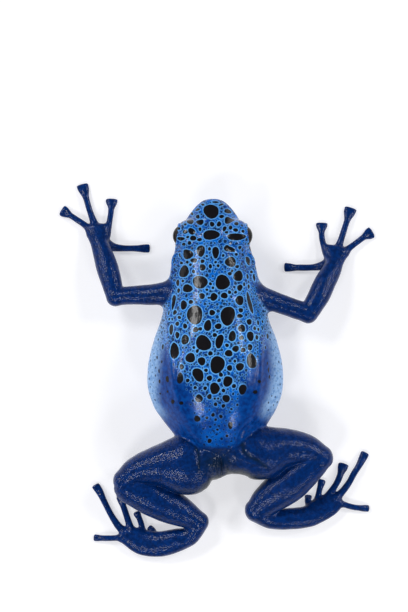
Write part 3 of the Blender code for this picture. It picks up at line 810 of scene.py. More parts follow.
class Field:
    """Distances on a lattice that is closer where the head is."""

    ENDS = ((-25.2, 25.2), (-29.8, 29.8), (-0.45, 13.9))
    HEAD = ((-7.4, 8.4), (-28.0, -15.5), (-0.45, 13.9))
    FINE = (0.135, 0.135, 0.15)
    COARSE = (0.175, 0.175, 0.15)
    OUTSIDE = 4.0
    ROOM_TO_ADD = 0.8
    ROOM_TO_CARVE = 0.4
    SLOPE_STEP = 0.09
    EVENING_ROUNDS = 3
    EVENING = 0.6
    LEAST_STEEP = 0.15
    LONGEST_MOVE = 0.1

    def __init__(self) -> None:
        """Lays the lattice out, all of it outside."""
        rows = zip(self.ENDS, self.HEAD, self.FINE, self.COARSE)
        self.axes = [self.graded(*row) for row in rows]
        self.values = np.full([len(axis) for axis in self.axes], self.OUTSIDE, np.float32)

    @staticmethod
    def graded(
        ends: tuple[float, float], head: tuple[float, float], fine: float, coarse: float
    ) -> Array:
        """Spreads places along one axis.

        Args:
            ends: the first and the last place.
            head: from where to where they lie close together.
            fine: how far apart they are there.
            coarse: how far apart they are elsewhere.

        Returns:
            The places, in millimetres.
        """
        pieces = []
        spans = ((ends[0], head[0], coarse), (*head, fine), (head[1], ends[1], coarse))
        for start, end, step in spans:
            if end > start:
                count = max(1, round((end - start) / step))
                pieces.append(np.linspace(start, end, count, endpoint=False))
        return np.concatenate([*pieces, [ends[1]]])

    def along(self, n: int, places: Array) -> Array:
        """Values for the lattice's places along one axis, laid out to spread over the others."""
        shape = [len(places) if other == n else 1 for other in range(3)]
        return places.astype(np.float32).reshape(shape)

    def block(
        self, low: Iterable[float], high: Iterable[float]
    ) -> tuple[tuple[slice, ...], list[Array]]:
        """Finds the part of the lattice in a box.

        Args:
            low: the box's lowest corner, in millimetres.
            high: its highest corner.

        Returns:
            The part as slices, and its places along each axis.
        """
        cut, places = [], []
        for n, (axis, a, b) in enumerate(zip(self.axes, low, high)):
            start = max(int(np.searchsorted(axis, a)) - 1, 0)
            end = min(int(np.searchsorted(axis, b)) + 1, len(axis))
            cut.append(slice(start, end))
            places.append(self.along(n, axis[start:end]))
        return tuple(cut), places

    def around(self, form: Form, margin: float) -> tuple[tuple[slice, ...], list[Array]]:
        """The part of the lattice round a form."""
        low, high = form.bounds()
        return self.block(low - margin, high + margin)

    def add(self, form: Form, blend: Blend) -> None:
        """Joins a form to the field."""
        cut, places = self.around(form, self.ROOM_TO_ADD + blend.value)
        self.values[cut] = melt(self.values[cut], form.distance(*places), blend.value)

    def carve(self, form: Form, blend: Blend) -> None:
        """Takes a form out of the field."""
        cut, places = self.around(form, self.ROOM_TO_CARVE)
        self.values[cut] = -melt(-self.values[cut], form.distance(*places), blend.value)

    def raise_by(self, low: Place, high: Place, rule: Rule) -> None:
        """Moves the skin outward in a box, by what a rule gives for each place."""
        cut, places = self.block(low, high)
        self.values[cut] -= rule(*places).astype(np.float32)

    def keep_between(self, low: Array, high: Array) -> None:
        """Flattens what reaches past either corner of a box."""
        for n, axis in enumerate(self.axes):
            inner = self.along(n, np.minimum(axis - low[n], high[n] - axis))
            self.values = -melt(-self.values, inner, Blend.EDGE.value)

    def sample(self, points: Array) -> Array:
        """Reads the field at any points, by even shares of the eight places round each.

        Args:
            points: the points, in millimetres.

        Returns:
            The field's values there.
        """
        counted = [
            np.interp(points[:, n], axis, np.arange(len(axis)))
            for n, axis in enumerate(self.axes)
        ]
        base = [np.clip(c.astype(int), 0, len(axis) - 2) for c, axis in zip(counted, self.axes)]
        rest = [c - b for c, b in zip(counted, base)]
        total = np.zeros(len(points))
        for corner in range(8):
            pick = [(corner >> n) & 1 for n in range(3)]
            share = np.prod([r if p else 1 - r for r, p in zip(rest, pick)], axis=0)
            total += share * self.values[tuple(b + p for b, p in zip(base, pick))]
        return total

    def slope(self, points: Array) -> Array:
        """Finds the direction in which the field grows at any points.

        Args:
            points: the points, in millimetres.

        Returns:
            The directions, as long as the field is steep.
        """
        found = np.empty_like(points)
        for n in range(3):
            shift = np.zeros(3)
            shift[n] = self.SLOPE_STEP
            change = self.sample(points + shift) - self.sample(points - shift)
            found[:, n] = change / (2 * self.SLOPE_STEP)
        return found

    def contour(self) -> tuple[Array, Array]:
        """Finds the surface where the field is 0.

        Returns:
            The points in millimetres, and the quads as rows of four point numbers.
        """
        values, inside = self.values, self.values < 0
        ends = [(slice(None, -1), slice(1, None))] * 3
        cells = sum(inside[corner].astype(np.int8) for corner in product(*ends))
        i, j, k = np.nonzero((cells > 0) & (cells < 8))
        number = np.full(cells.shape, -1, np.int32)
        number[i, j, k] = np.arange(len(i))
        total, count = np.zeros((len(i), 3)), np.zeros(len(i))
        for axis, pu, pv in product(range(3), (0, 1), (0, 1)):
            start = [0, 0, 0]
            start[(axis + 1) % 3], start[(axis + 2) % 3] = pu, pv
            end = list(start)
            end[axis] = 1
            a = values[i + start[0], j + start[1], k + start[2]]
            b = values[i + end[0], j + end[1], k + end[2]]
            crossed = (a < 0) != (b < 0)
            share = np.where(crossed, a / np.where(crossed, a - b, 1), 0)
            for n in range(3):
                total[:, n] += np.where(crossed, share if n == axis else start[n], 0)
            count += crossed
        places = np.stack([i, j, k], axis=1) + total / count[:, None]
        columns = [
            np.interp(places[:, n], np.arange(len(axis)), axis)
            for n, axis in enumerate(self.axes)
        ]
        return np.stack(columns, axis=1), self.quads(inside, number)

    @staticmethod
    def quads(inside: Array, number: Array) -> Array:
        """Lays a quad round every lattice edge that crosses the surface, facing out.

        Args:
            inside: which places of the lattice are inside.
            number: the surface point's number in each cell.

        Returns:
            Rows of four point numbers.
        """
        found = []
        for axis in range(3):
            u, v = (axis + 1) % 3, (axis + 2) % 3
            one = np.take(inside, range(inside.shape[axis] - 1), axis)
            two = np.take(inside, range(1, inside.shape[axis]), axis)
            edge = np.argwhere(one != two)
            keep = (edge[:, u] > 0) & (edge[:, v] > 0)
            keep &= (edge[:, u] < number.shape[u]) & (edge[:, v] < number.shape[v])
            edge = edge[keep]
            corners = []
            for du, dv in ((-1, -1), (0, -1), (0, 0), (-1, 0)):
                cell = edge.copy()
                cell[:, u] += du
                cell[:, v] += dv
                corners.append(number[tuple(cell.T)])
            quad = np.stack(corners, axis=1)
            outward = inside[tuple(edge.T)]
            found.append(np.where(outward[:, None], quad, quad[:, ::-1]))
        return np.concatenate(found)

    def surface(self) -> tuple[Array, Array]:
        """Evens the contour out and sets it back on the exact surface.

        Returns:
            The points in millimetres, and the quads as rows of four point numbers.
        """
        points, quads = self.contour()
        ends = np.concatenate([quads[:, [n, (n + 1) % 4]] for n in range(4)])
        ends = np.concatenate([ends, ends[:, ::-1]])
        weight = np.bincount(ends[:, 0], minlength=len(points))
        for _ in range(self.EVENING_ROUNDS):
            columns = [
                np.bincount(ends[:, 0], points[ends[:, 1], n], len(points)) / weight
                for n in range(3)
            ]
            points = points + self.EVENING * (np.stack(columns, axis=1) - points)
            slope = self.slope(points)
            step = self.sample(points) / np.maximum((slope**2).sum(axis=1), self.LEAST_STEEP)
            step = np.clip(step, -self.LONGEST_MOVE, self.LONGEST_MOVE)
            points = points - step[:, None] * slope
        return points, quads


def digit_stations(digit: Digit) -> list[Station]:
    """Gives a finger or toe its thickness: thick at its root and spread to a pad at its tip.

    Args:
        digit: the finger or toe.

    Returns:
        The stations along it.
    """
    line = through(list(digit.path), DIGIT_STEPS)
    lengths = np.cumsum([0.0, *(math.dist(a, b) for a, b in zip(line, line[1:]))])
    stations = []
    for (x, y), length in zip(line, lengths):
        share = length / lengths[-1]
        root = max(0.0, 1 - share / DIGIT_ROOT_END) ** 2
        spread = float(DIGIT_SPREAD.over(np.array(share)))
        swell = (digit.base - digit.shaft) * root
        wide = digit.shaft + swell + (digit.pad - digit.shaft) * spread
        high = digit.shaft * DIGIT_FLATNESS * (1 - spread) + DIGIT_PAD_HIGH * spread + swell
        z = DIGIT_SHAFT_Z + (DIGIT_ROOT_Z - DIGIT_SHAFT_Z) * root
        z += (DIGIT_PAD_Z - DIGIT_SHAFT_Z) * spread
        stations.append(Station(x, y, z, wide, high))
    return stations


@dataclass
class Eye:
    """One eye: its place, size and gaze."""

    side: Side
    middle_x: float
    radius: float = EYE_RADIUS
    gaze_forward: float = math.radians(8)
    gaze_up: float = math.radians(4)
    around: int = 96
    rings: int = 64

    @property
    def centre(self) -> Place:
        """The eye's centre in the forms' own millimetres."""
        return (self.middle_x + self.side.value * EYE_SPREAD, EYE_Y, EYE_Z)

    @property
    def gaze(self) -> Place:
        """Finds the direction in which the eye looks.

        Returns:
            The direction, of length 1.
        """
        level, ahead = math.cos(self.gaze_up), self.gaze_forward
        x, y = level * math.cos(ahead), -level * math.sin(ahead)
        return (self.side.value * x, y, math.sin(self.gaze_up))

    def ball(self) -> tuple[list[Vector], list[tuple[int, ...]]]:
        """Makes a round ball of radius 1 with a pole at its top.

        Returns:
            The points, and the faces as rows of point numbers.
        """
        n, rings = self.around, self.rings
        points = [Vector((0, 0, 1))]
        for ring in range(1, rings):
            tilt = math.pi * ring / rings
            level, up = math.sin(tilt), math.cos(tilt)
            turns = (2 * math.pi * k / n for k in range(n))
            points += [Vector((level * math.cos(t), level * math.sin(t), up)) for t in turns]
        points.append(Vector((0, 0, -1)))
        last = 1 + (rings - 2) * n
        faces = [(0, 1 + k, 1 + (k + 1) % n) for k in range(n)]
        for one in range(1, last, n):
            two = one + n
            faces += [(one + k, two + k, two + (k + 1) % n, one + (k + 1) % n) for k in range(n)]
        faces += [(last + k, len(points) - 1, last + (k + 1) % n) for k in range(n)]
        return points, faces

    def build(self, shift: Array, finish: "EyeFinish") -> bpy.types.Object:
        """Makes the eyeball, its poles on the line of sight, and dresses it.

        Args:
            shift: from the forms' own millimetres to the model's.
            finish: what it is made to look like.

        Returns:
            The eyeball.
        """
        pole = Vector(self.gaze).to_track_quat("Z", "Y").to_matrix()
        points, faces = self.ball()
        mesh = bpy.data.meshes.new(f"eyeball_{self.side.label}")
        centre = Vector(self.centre) + Vector(shift.tolist())
        mesh.from_pydata([(centre + (pole @ p) * self.radius) * MM for p in points], [], faces)
        mesh.shade_smooth()
        angle = mesh.attributes.new("from_gaze", "FLOAT", "POINT")
        angle.data.foreach_set("value", [math.acos(max(-1.0, min(1.0, p.z))) for p in points])
        obj = linked(f"eyeball_{self.side.label}", mesh)
        mesh.materials.append(finish.material())
        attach(obj, "root")
        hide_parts(f"eye_{self.side.label}")
        return obj


class Swell(NamedTuple):
    """A rise of the skin, or a groove where its height is below 0, in millimetres."""

    height: float
    at: float
    width: float

    def over(self, value: Array) -> Array:
        """How high the skin rises at each value."""
        return self.height * bump(value - self.at, self.width)


@dataclass
class Relief:
    """The small shapes of the head and body: mouth, nostrils, eardrums, lid rims and folds."""

    body: BodyForm
    eyes: Sequence[Eye]
    mouth_z: float = 3.25
    mouth_corner: float = -17.4
    mouth_fade: float = 0.9
    mouth_bow: float = 0.22
    mouth_bow_y: float = -22.2
    mouth_bow_turn: float = 0.66
    mouth_groove: Swell = Swell(-0.24, 0.0, 0.17)
    mouth_lip: Swell = Swell(0.05, 0.42, 0.26)
    jaw_step: float = -0.1
    jaw_start: Fade = Fade(0.0, 0.3)
    jaw_bottom: Fade = Fade(0.6, 1.6)
    nostril: Place = (1.75, -25.4, 5.75)
    nostril_pit: Swell = Swell(-0.42, 0.0, 0.3)
    nostril_rim: Swell = Swell(0.08, 0.55, 0.2)
    drum_y: float = -17.3
    drum_angle: float = math.radians(14)
    drum_rim: Swell = Swell(0.17, 1.05, 0.2)
    drum_middle: Swell = Swell(0.05, 0.0, 0.3)
    drum_sink: float = 0.1
    drum_inside: Fade = Fade(0.55, 0.95)
    drum_depth_share: float = 0.25
    lid_radius: float = 2.2
    lid_reach: Fade = Fade(1.2, 0.5)
    lid_rim: Swell = Swell(0.1, 0.2, 0.2)
    lid_furrow: Swell = Swell(-0.05, 0.62, 0.2)
    lid_bag: Swell = Swell(0.1, 0.75, 0.22)
    bag_drop: Fade = Fade(0.6, 1.6)
    back_ridge: tuple[float, float] = (0.2, 0.65)
    groin_crease: tuple[float, float] = (-0.34, 0.42)
    ripple_waves: tuple[tuple[float, tuple[Wave, ...]], ...] = (
        (0.03, ((1.9, 0.7, 0.0, 1.3), (0.0, 1.4, -0.8, 0.0), (0.5, 0.0, 1.7, 0.4))),
        (0.012, ((3.7, 0.0, -2.2, 0.4), (1.9, 3.1, 0.0, 0.0), (0.0, -1.2, 3.3, 0.0))),
    )
    wrinkle_height: float = 0.09
    wrinkle_across: Swell = Swell(1.0, -0.1, 2.0)
    wrinkle_along: Swell = Swell(1.0, 14.4, 1.7)
    wrinkle_up: Fade = Fade(2.0, 3.5)
    wrinkle_waves: tuple[float, float] = (9.0, 0.8)
    line_steps: int = 6
    line_search: Place = (12.0, 1.0, -0.05)
    line_room: float = 1.5
    lid_room: float = 4.0
    drum_room: float = 2.0
    mouth_box: Box = ((-8, -28, 0.3), (9, -16, 5.2))
    nose_box: Box = ((-4, -27, 4), (5, -24, 7.5))
    vent_box: Box = ((-3.5, 11.5, 2), (3.5, 17.5, 8))
    whole_box: Box = ((-30, -30, -1), (30, 30, 15))

    def skin_point(self, y: float, angle: float, side: Side) -> Place:
        """Finds a point of the body's skin.

        Args:
            y: its place along the body, in millimetres.
            angle: how far it is above the body's level line, round the middle.
            side: the side that it is on.

        Returns:
            The point.
        """
        section = [np.array(float(v)) for v in self.body.section(np.array(y))]
        up, across = math.sin(angle), side.value * math.cos(angle)
        far = float(self.body.reach(np.array(across), np.array(up), section))
        return (float(section[0]) + far * across, y, float(section[3]) + far * up)

    def mouth(self, x: Array, y: Array, z: Array) -> Array:
        """Sinks the groove of the mouth, with the lower jaw set back below it.

        Args:
            x: places across, in millimetres.
            y: places along.
            z: heights.

        Returns:
            How far the skin moves outward.
        """
        share = Fade(self.mouth_corner, self.mouth_corner - self.mouth_fade).over(y)
        bow = self.mouth_bow * np.cos((y - self.mouth_bow_y) * self.mouth_bow_turn)
        above = z - (self.mouth_z + bow)
        groove = self.mouth_groove.over(above) + self.mouth_lip.over(above)
        jaw = self.jaw_step * self.jaw_start.over(-above) * self.jaw_bottom.over(z)
        return share * (groove + jaw)

    def drum(self, side: Side) -> Rule:
        """Makes the rule that raises an eardrum's rim and sinks its middle.

        Args:
            side: the side that the eardrum is on.

        Returns:
            The rule.
        """
        cx, cy, cz = self.skin_point(self.drum_y, self.drum_angle, side)

        def rule(x: Array, y: Array, z: Array) -> Array:
            """Raises the rim and sinks the middle.

            Args:
                x: places across, in millimetres.
                y: places along.
                z: heights.

            Returns:
                How far the skin moves outward.
            """
            off = (y - cy) ** 2 + (z - cz) ** 2 + self.drum_depth_share * (x - cx) ** 2
            off = np.sqrt(off)
            sunk = self.drum_sink * (1 - self.drum_inside.over(off))
            return self.drum_rim.over(off) - sunk + self.drum_middle.over(off)

        return rule

    def nose(self, side: Side) -> Rule:
        """Makes the rule that pits a nostril and raises its rim.

        Args:
            side: the side that the nostril is on.

        Returns:
            The rule.
        """
        out, y0, z0 = self.nostril
        x0 = float(self.body.section(np.array(y0))[0]) + side.value * out

        def rule(x: Array, y: Array, z: Array) -> Array:
            """Pits the nostril and raises its rim."""
            off = np.sqrt((x - x0) ** 2 + (y - y0) ** 2 + (z - z0) ** 2)
            return self.nostril_pit.over(off) + self.nostril_rim.over(off)

        return rule

    def lid(self, eye: Eye) -> Rule:
        """Makes the rule that thickens the rim of the lids and folds the skin under the eye.

        Args:
            eye: the eye inside the lids.

        Returns:
            The rule.
        """
        opening = LidOpening(eye.centre, eye.gaze)
        cx, cy, cz = eye.centre

        def rule(x: Array, y: Array, z: Array) -> Array:
            """Raises a rim along the opening, with a furrow and a bag outside it.

            Args:
                x: places across, in millimetres.
                y: places along.
                z: heights.

            Returns:
                How far the skin moves outward.
            """
            off = opening.distance(x, y, z)
            out = np.sqrt((x - cx) ** 2 + (y - cy) ** 2 + (z - cz) ** 2)
            close = self.lid_reach.over(np.abs(out - self.lid_radius))
            rim = self.lid_rim.over(off) + self.lid_furrow.over(off)
            return close * (rim + self.lid_bag.over(off) * self.bag_drop.over(cz - z))

        return rule

    def ridge(self, points: Sequence[Place], height: float, width: float) -> Rule:
        """Makes the rule of a raised line, or a sunk one where its height is below 0.

        Args:
            points: what the line runs through, in millimetres.
            height: how high it stands, in its middle.
            width: how far its sides reach.

        Returns:
            The rule.
        """
        line = np.array(through(list(points), self.line_steps))

        def rule(x: Array, y: Array, z: Array) -> Array:
            """Raises the skin along the line, fading toward both ends.

            Args:
                x: places across, in millimetres.
                y: places along.
                z: heights.

            Returns:
                How far the skin moves outward.
            """
            best = np.full(np.broadcast_shapes(x.shape, y.shape, z.shape), FAR_OFF)
            place = np.zeros(best.shape)
            for n, (a, b) in enumerate(zip(line, line[1:])):
                span, gaps = b - a, (x - a[0], y - a[1], z - a[2])
                share = sum(gap * part for gap, part in zip(gaps, span)) / (span @ span)
                share = np.clip(share, 0, 1)
                off = sum((gap - share * part) ** 2 for gap, part in zip(gaps, span))
                closer = off < best
                best = np.where(closer, off, best)
                place = np.where(closer, (n + share) / (len(line) - 1), place)
            fade = np.sqrt(np.sin(np.pi * np.clip(place, 0.0, 1.0)))
            return height * fade * bump(np.sqrt(best), width)

        return rule

    def on_top(self, flesh: Field, px: float, py: float) -> Place:
        """Finds the highest point of the flesh under a pixel of the photograph.

        Args:
            flesh: the field of the flesh.
            px: the pixel, counted from the left.
            py: the pixel, counted from the top.

        Returns:
            The point, in millimetres.
        """
        x, y = from_photo(px, py)
        column = np.array([(x, y, z) for z in np.arange(*self.line_search)])
        return tuple(column[int(np.argmax(flesh.sample(column) < 0))])

    def ripples(self, x: Array, y: Array, z: Array) -> Array:
        """Swells the skin a little all over, which keeps it from looking turned on a lathe.

        Args:
            x: places across, in millimetres.
            y: places along.
            z: heights.

        Returns:
            How far the skin moves outward.
        """
        total = 0.0
        for height, waves in self.ripple_waves:
            rise = 1.0
            for *rates, start in waves:
                turn = sum(rate * v for rate, v in zip(rates, (x, y, z)) if rate)
                rise = rise * np.sin(turn + start)
            total = total + height * rise
        return total

    def wrinkles(self, x: Array, y: Array, z: Array) -> Array:
        """Wrinkles the vent finely lengthwise, between the thighs.

        Args:
            x: places across, in millimetres.
            y: places along.
            z: heights.

        Returns:
            How far the skin moves outward.
        """
        share = self.wrinkle_across.over(x) * self.wrinkle_along.over(y) * self.wrinkle_up.over(z)
        across, along = self.wrinkle_waves
        return self.wrinkle_height * share * np.sin(across * x + along * y)

    def press_into(self, flesh: Field) -> None:
        """Shapes all of these in a field.

        Args:
            flesh: the field of the flesh.
        """
        flesh.raise_by(*self.mouth_box, self.mouth)
        for eye in self.eyes:
            drum = self.skin_point(self.drum_y, self.drum_angle, eye.side)
            for middle, room, rule in (
                (eye.centre, self.lid_room, self.lid(eye)),
                (drum, self.drum_room, self.drum(eye.side)),
            ):
                low, high = np.array(middle) - room, np.array(middle) + room
                flesh.raise_by(low, high, rule)
            flesh.raise_by(*self.nose_box, self.nose(eye.side))
        flesh.raise_by(*self.vent_box, self.wrinkles)
        for lines, shape in ((BACK_RIDGES, self.back_ridge), (GROIN_CREASES, self.groin_crease)):
            for pixels in lines:
                line = [self.on_top(flesh, *pixel) for pixel in pixels]
                low = np.min(line, axis=0) - self.line_room
                high = np.max(line, axis=0) + self.line_room
                flesh.raise_by(low, high, self.ridge(line, *shape))
        flesh.raise_by(*self.whole_box, self.ripples)


@dataclass
class FrogSkin:
    """The skin of the whole frog as one mesh, with its markings."""

    shift: Array
    eyes: Sequence[Eye]
    limits: tuple[Array, Array]
    body: BodyForm = field(default_factory=BodyForm)
    lid_size: Place = (2.35, 2.48, 2.65)
    lid_inward: float = 0.8
    lid_forward: float = 0.08
    lid_rise: float = 0.1
    lid_wall: float = 0.18
    vent: Place = (-0.1, 13.9, 4.6)
    vent_size: Place = (2.3, 2.6, 1.9)
    limb_steps: int = 4
    wrist_reach: float = 0.5

    def limbs(self) -> dict[str, tuple[TubeForm, Blend]]:
        """Makes the forms of every limb segment and digit.

        Returns:
            Each by its name, with how it melts into what it grows from.
        """
        forms = {}
        for side in Side:
            s, reach = side.label, self.wrist_reach
            chains = {
                "upper_arm": (UPPER_ARM[s], Blend.ROOT, None),
                "forearm": ([UPPER_ARM[s][-1], *FOREARM[s], *PALM[s]], Blend.FOLD, reach),
                "thigh": (THIGH[s], Blend.FOLD, None),
                "shank": ([THIGH[s][-1], *SHANK[s]], Blend.FOLD, None),
                "tarsus": ([SHANK[s][-1], *TARSUS[s], *SOLE[s]], Blend.FOLD, reach),
            }
            for name, (stations, blend, tip) in chains.items():
                forms[f"{name}_{s}"] = (TubeForm(stations, self.limb_steps, tip), blend)
            for word, digits in (("finger", FINGERS[s]), ("toe", TOES[s])):
                for number, digit in enumerate(digits, 1):
                    tube = TubeForm(digit_stations(digit), 1, DIGIT_TIP, DIGIT_SQUARENESS)
                    forms[f"{word}_{number}_{s}"] = (tube, Blend.CREASE)
        return forms

    def shaped(self) -> Field:
        """Shapes the whole frog, with its lids, mouth, nostrils and eardrums.

        Returns:
            The field of its flesh.
        """
        flesh = Field()
        flesh.add(self.body, Blend.CRISP)
        for eye in self.eyes:
            x, y, z = eye.centre
            inward = eye.side.value * self.lid_inward
            middle = (x - inward, y - self.lid_forward, z + self.lid_rise)
            flesh.add(BallForm(middle, self.lid_size), Blend.LID)
            reach = eye.radius + self.lid_wall
            flesh.add(BallForm(eye.centre, (reach, reach, reach)), Blend.FOLD)
        for form, blend in self.limbs().values():
            flesh.add(form, blend)
        flesh.add(BallForm(self.vent, self.vent_size), Blend.ROOT)
        Relief(self.body, self.eyes).press_into(flesh)
        for eye in self.eyes:
            flesh.carve(LidOpening(eye.centre, eye.gaze), Blend.FOLD)
        low, high = self.limits
        flesh.keep_between(low - self.shift, high - self.shift)
        return flesh

    def build(self, finish: "SkinFinish") -> bpy.types.Object:
        """Makes the skin's mesh, marks it and dresses it.

        Args:
            finish: what it is made to look like.

        Returns:
            The skin.
        """
        flesh = self.shaped()
        points, quads = flesh.surface()
        LOG.info("skin: %d points, %d quads", len(points), len(quads))
        mesh = bpy.data.meshes.new("frog_skin")
        mesh.from_pydata(((points + self.shift) * MM).tolist(), [], quads.tolist())
        mesh.shade_smooth()
        slope = flesh.slope(points)
        slope /= np.linalg.norm(slope, axis=1)[:, None] + TINY
        for name, values in Markings(self, points, slope).all().items():
            layer = mesh.attributes.new(name, "FLOAT", "POINT")
            layer.data.foreach_set("value", values.astype(np.float32))
        mesh.materials.append(finish.material())
        return linked("frog_skin", mesh)


@dataclass
class Markings:
    """Where each kind of colour lies on the skin, as one value for each point.

    A fade along the frog is in photo pixels from the top, one in height is in millimetres, and one
    in facing is in how far the skin faces up, from -1 to 1.
    """

    skin: FrogSkin
    points: Array
    normals: Array
    far: float = 1.5
    seen_facing: float = 0.08
    seen_above: float = 3.0
    least_slant: float = 0.7
    frame_reach: float = 0.8
    same_place: float = 0.15
    spot_depth: float = 1.3
    spot_shallow: float = 0.6
    spot_shrink: float = 1.6
    wobbles: tuple[Place, ...] = ((0.05, 2, 2.4), (0.045, 3, 1.7))
    least_share: float = 0.2
    mark_size_least: float = 0.6
    mark_size_spread: float = 0.4
    marks_end: float = 17.0
    limb_edge: Fade = Fade(-0.35, 0.25)
    saddle_soft: float = 7.0
    flank_soft: float = 6.0
    flank_start: Fade = Fade(250.0, 285.0)
    flank_end: Fade = Fade(428.0, 402.0)
    flank_height: Fade = Fade(2.2, 4.4)
    rump: Fade = Fade(443.5, 449.5)
    under: Fade = Fade(-0.1, -0.7)
    unseen: Fade = Fade(0.25, 0.0)
    unseen_end: Fade = Fade(440.0, 400.0)
    shoulder: Fade = Fade(280.0, 330.0)
    belly: Fade = Fade(-0.3, -0.8)
    low_sides: Fade = Fade(5.2, 3.0)
    lower_back: Fade = Fade(375.0, 430.0)
    fine_thins: Fade = Fade(330.0, 400.0)
    fine_under: Fade = Fade(-0.1, -0.6)
    halo_ends: Fade = Fade(380.0, 430.0)
    # Where the painted shade between and behind the thighs lies: along the frog, where the skin
    # faces down, near the middle, round the vent and in the creases.
    groin_start: Fade = Fade(452.0, 470.0)
    groin_end: Fade = Fade(500.0, 488.0)
    groin_facing: Fade = Fade(0.85, 0.3)
    groin_sides: Fade = Fade(8.5, 5.0)
    big_marks: tuple[float, float] = (0.25, 0.62)
    big_gap: float = 0.3
    fine_marks: tuple[float, float] = (0.12, 0.29)
    fine_gap: float = 0.15
    groin_middle: float = -0.6
    vent_across: Swell = Swell(0.75, -0.1, 2.8)
    vent_along: Swell = Swell(1.0, 463.0, 13.0)
    crease_width: float = 2.2
    crease_shade: float = 0.7
    crease_height: Fade = Fade(2.0, 3.0)
    shoulder_loss: float = 0.6
    belly_loss: float = 0.15
    back_loss: float = 0.35
    fine_loss: float = 0.3
    under_loss: float = 0.5
    flank_gain: float = 0.26
    halo_least: float = 0.7
    halo_middle: Swell = Swell(0.3, 335.0, 55.0)
    halo_loss: float = 0.55

    def on_body(self) -> Array:
        """Tells the head and trunk from the limbs.

        Returns:
            1 on the head and trunk, 0 on the limbs.
        """
        x, y, z = self.points.T
        trunk = self.skin.body.distance(x, y, z)
        limb = np.full(len(x), FAR_OFF)
        for form, _ in self.skin.limbs().values():
            limb = np.minimum(limb, form.distance(x, y, z))
        return self.limb_edge.over(limb - trunk)

    def spots(self) -> Array:
        """Lays every black spot of the list on the skin.

        Returns:
            How far each point is from the nearest spot, in millimetres, below 0 inside.
        """
        found = np.full(len(self.points), self.far)
        seen = self.normals[:, 2] > self.seen_facing
        seen &= self.points[:, 2] > self.seen_above
        for number, spot in enumerate(SPOTS):
            found = np.minimum(found, self.one_spot(spot, number, seen))
        return found

    def one_spot(self, spot: Spot, number: int, seen: Array) -> Array:
        """Lays one spot on the skin under its centre.

        Args:
            spot: the spot as seen from above.
            number: its number, which sets how its outline wavers.
            seen: which points are seen from above.

        Returns:
            How far each point is from the spot, in millimetres, below 0 inside.
        """
        x0, y0 = from_photo(spot.x, spot.y)
        off = np.hypot(self.points[:, 0] - x0, self.points[:, 1] - y0)
        off = np.where(seen, off, FAR_OFF)
        highest = np.where(off < off.min() + self.same_place, self.points[:, 2], -FAR_OFF)
        gap = self.points - self.points[int(np.argmax(highest))]
        away = (gap**2).sum(axis=1)
        normal = self.normals[away < self.frame_reach**2].mean(axis=0)
        normal /= np.linalg.norm(normal)
        steep = math.hypot(normal[0], normal[1]) + TINY
        downhill = np.array([normal[0], normal[1]]) / steep
        wide, long = spot.wide / 2 * MM_PER_PIXEL, spot.long / 2 * MM_PER_PIXEL
        near = away < (2 * max(wide, long) + self.far) ** 2
        near &= np.abs(gap @ normal) < self.spot_depth
        gap = gap[near]
        level = gap[:, 1] * downhill[0] - gap[:, 0] * downhill[1]
        fall = gap[:, 0] * downhill[0] + gap[:, 1] * downhill[1]
        fall = (fall * normal[2] - gap[:, 2] * steep) * max(normal[2], self.least_slant)
        u = fall * downhill[0] - level * downhill[1]
        v = fall * downhill[1] + level * downhill[0]
        turn = math.radians(spot.turn)
        side = u * math.cos(turn) - v * math.sin(turn)
        length = u * math.sin(turn) + v * math.cos(turn)
        angle = np.arctan2(length / long, side / wide)
        waves = (size * np.sin(n * angle + step * number) for size, n, step in self.wobbles)
        first = np.sqrt((side / wide) ** 2 + (length / long) ** 2) * sum(waves, 1) + NOT_ZERO
        second = np.sqrt((side / wide**2) ** 2 + (length / long**2) ** 2) + NOT_ZERO
        fold = self.spot_shrink * np.maximum(np.abs(gap @ normal) - self.spot_shallow, 0)
        found = np.full(len(self.points), self.far)
        found[near] = np.minimum(first * (first - 1) / second + fold, self.far)
        return found

    def strewn(
        self, share: Array, room: Array, sizes: tuple[float, float], gap: float, seed: int
    ) -> Array:
        """Strews round marks over the skin, none touching another.

        Args:
            share: how close together the marks may lie at each point, from 0 to 1.
            room: how far each point is from what the marks keep clear of.
            sizes: the least and the greatest radius, in millimetres.
            gap: the least space between two marks.
            seed: where the random draws start.

        Returns:
            How far each point is from the nearest mark's edge, below 0 inside.
        """
        chance = random.Random(seed)
        order = np.flatnonzero((share > self.least_share) & (room > sizes[0])).tolist()
        chance.shuffle(order)
        step = gap / self.least_share + 2 * sizes[1]
        boxes: dict[tuple[int, ...], list[int]] = {}
        kept: list[tuple[Array, float]] = []
        for n in order:
            place = self.points[n]
            radius = chance.uniform(*sizes)
            radius *= self.mark_size_least + self.mark_size_spread * share[n]
            if room[n] < radius + gap:
                continue
            box = tuple(int(v) for v in np.floor(place / step))
            around = product(*((v - 1, v, v + 1) for v in box))
            near = [kept[m] for other in around for m in boxes.get(other, ())]
            clear = radius + gap / share[n]
            if any(math.dist(place, other) < clear + wide for other, wide in near):
                continue
            boxes.setdefault(box, []).append(len(kept))
            kept.append((place, radius))
        LOG.info("strewn marks: %d", len(kept))
        tree = KDTree(len(kept))
        for n, (place, _) in enumerate(kept):
            tree.insert(place, n)
        tree.balance()
        found = np.full(len(self.points), self.far)
        for n in np.flatnonzero(self.points[:, 1] < self.marks_end).tolist():
            nearest = tree.find_n(self.points[n], 3)
            found[n] = min(self.far, *(away - kept[m][1] for _, m, away in nearest))
        return found

    def between(self, table: Sequence[Place], soft: float) -> Array:
        """Marks what lies between a table's left and right edges as seen from above.

        Args:
            table: rows of y and the x of both edges, in photo pixels.
            soft: over how many pixels the marking fades.

        Returns:
            1 between the edges and 0 outside.
        """
        px, py = to_photo(self.points)
        edges = np.array(table, np.float64)
        left, right = (np.interp(py, edges[:, 0], edges[:, n]) for n in (1, 2))
        return ramp(px - left, -soft, soft) * ramp(right - px, -soft, soft)

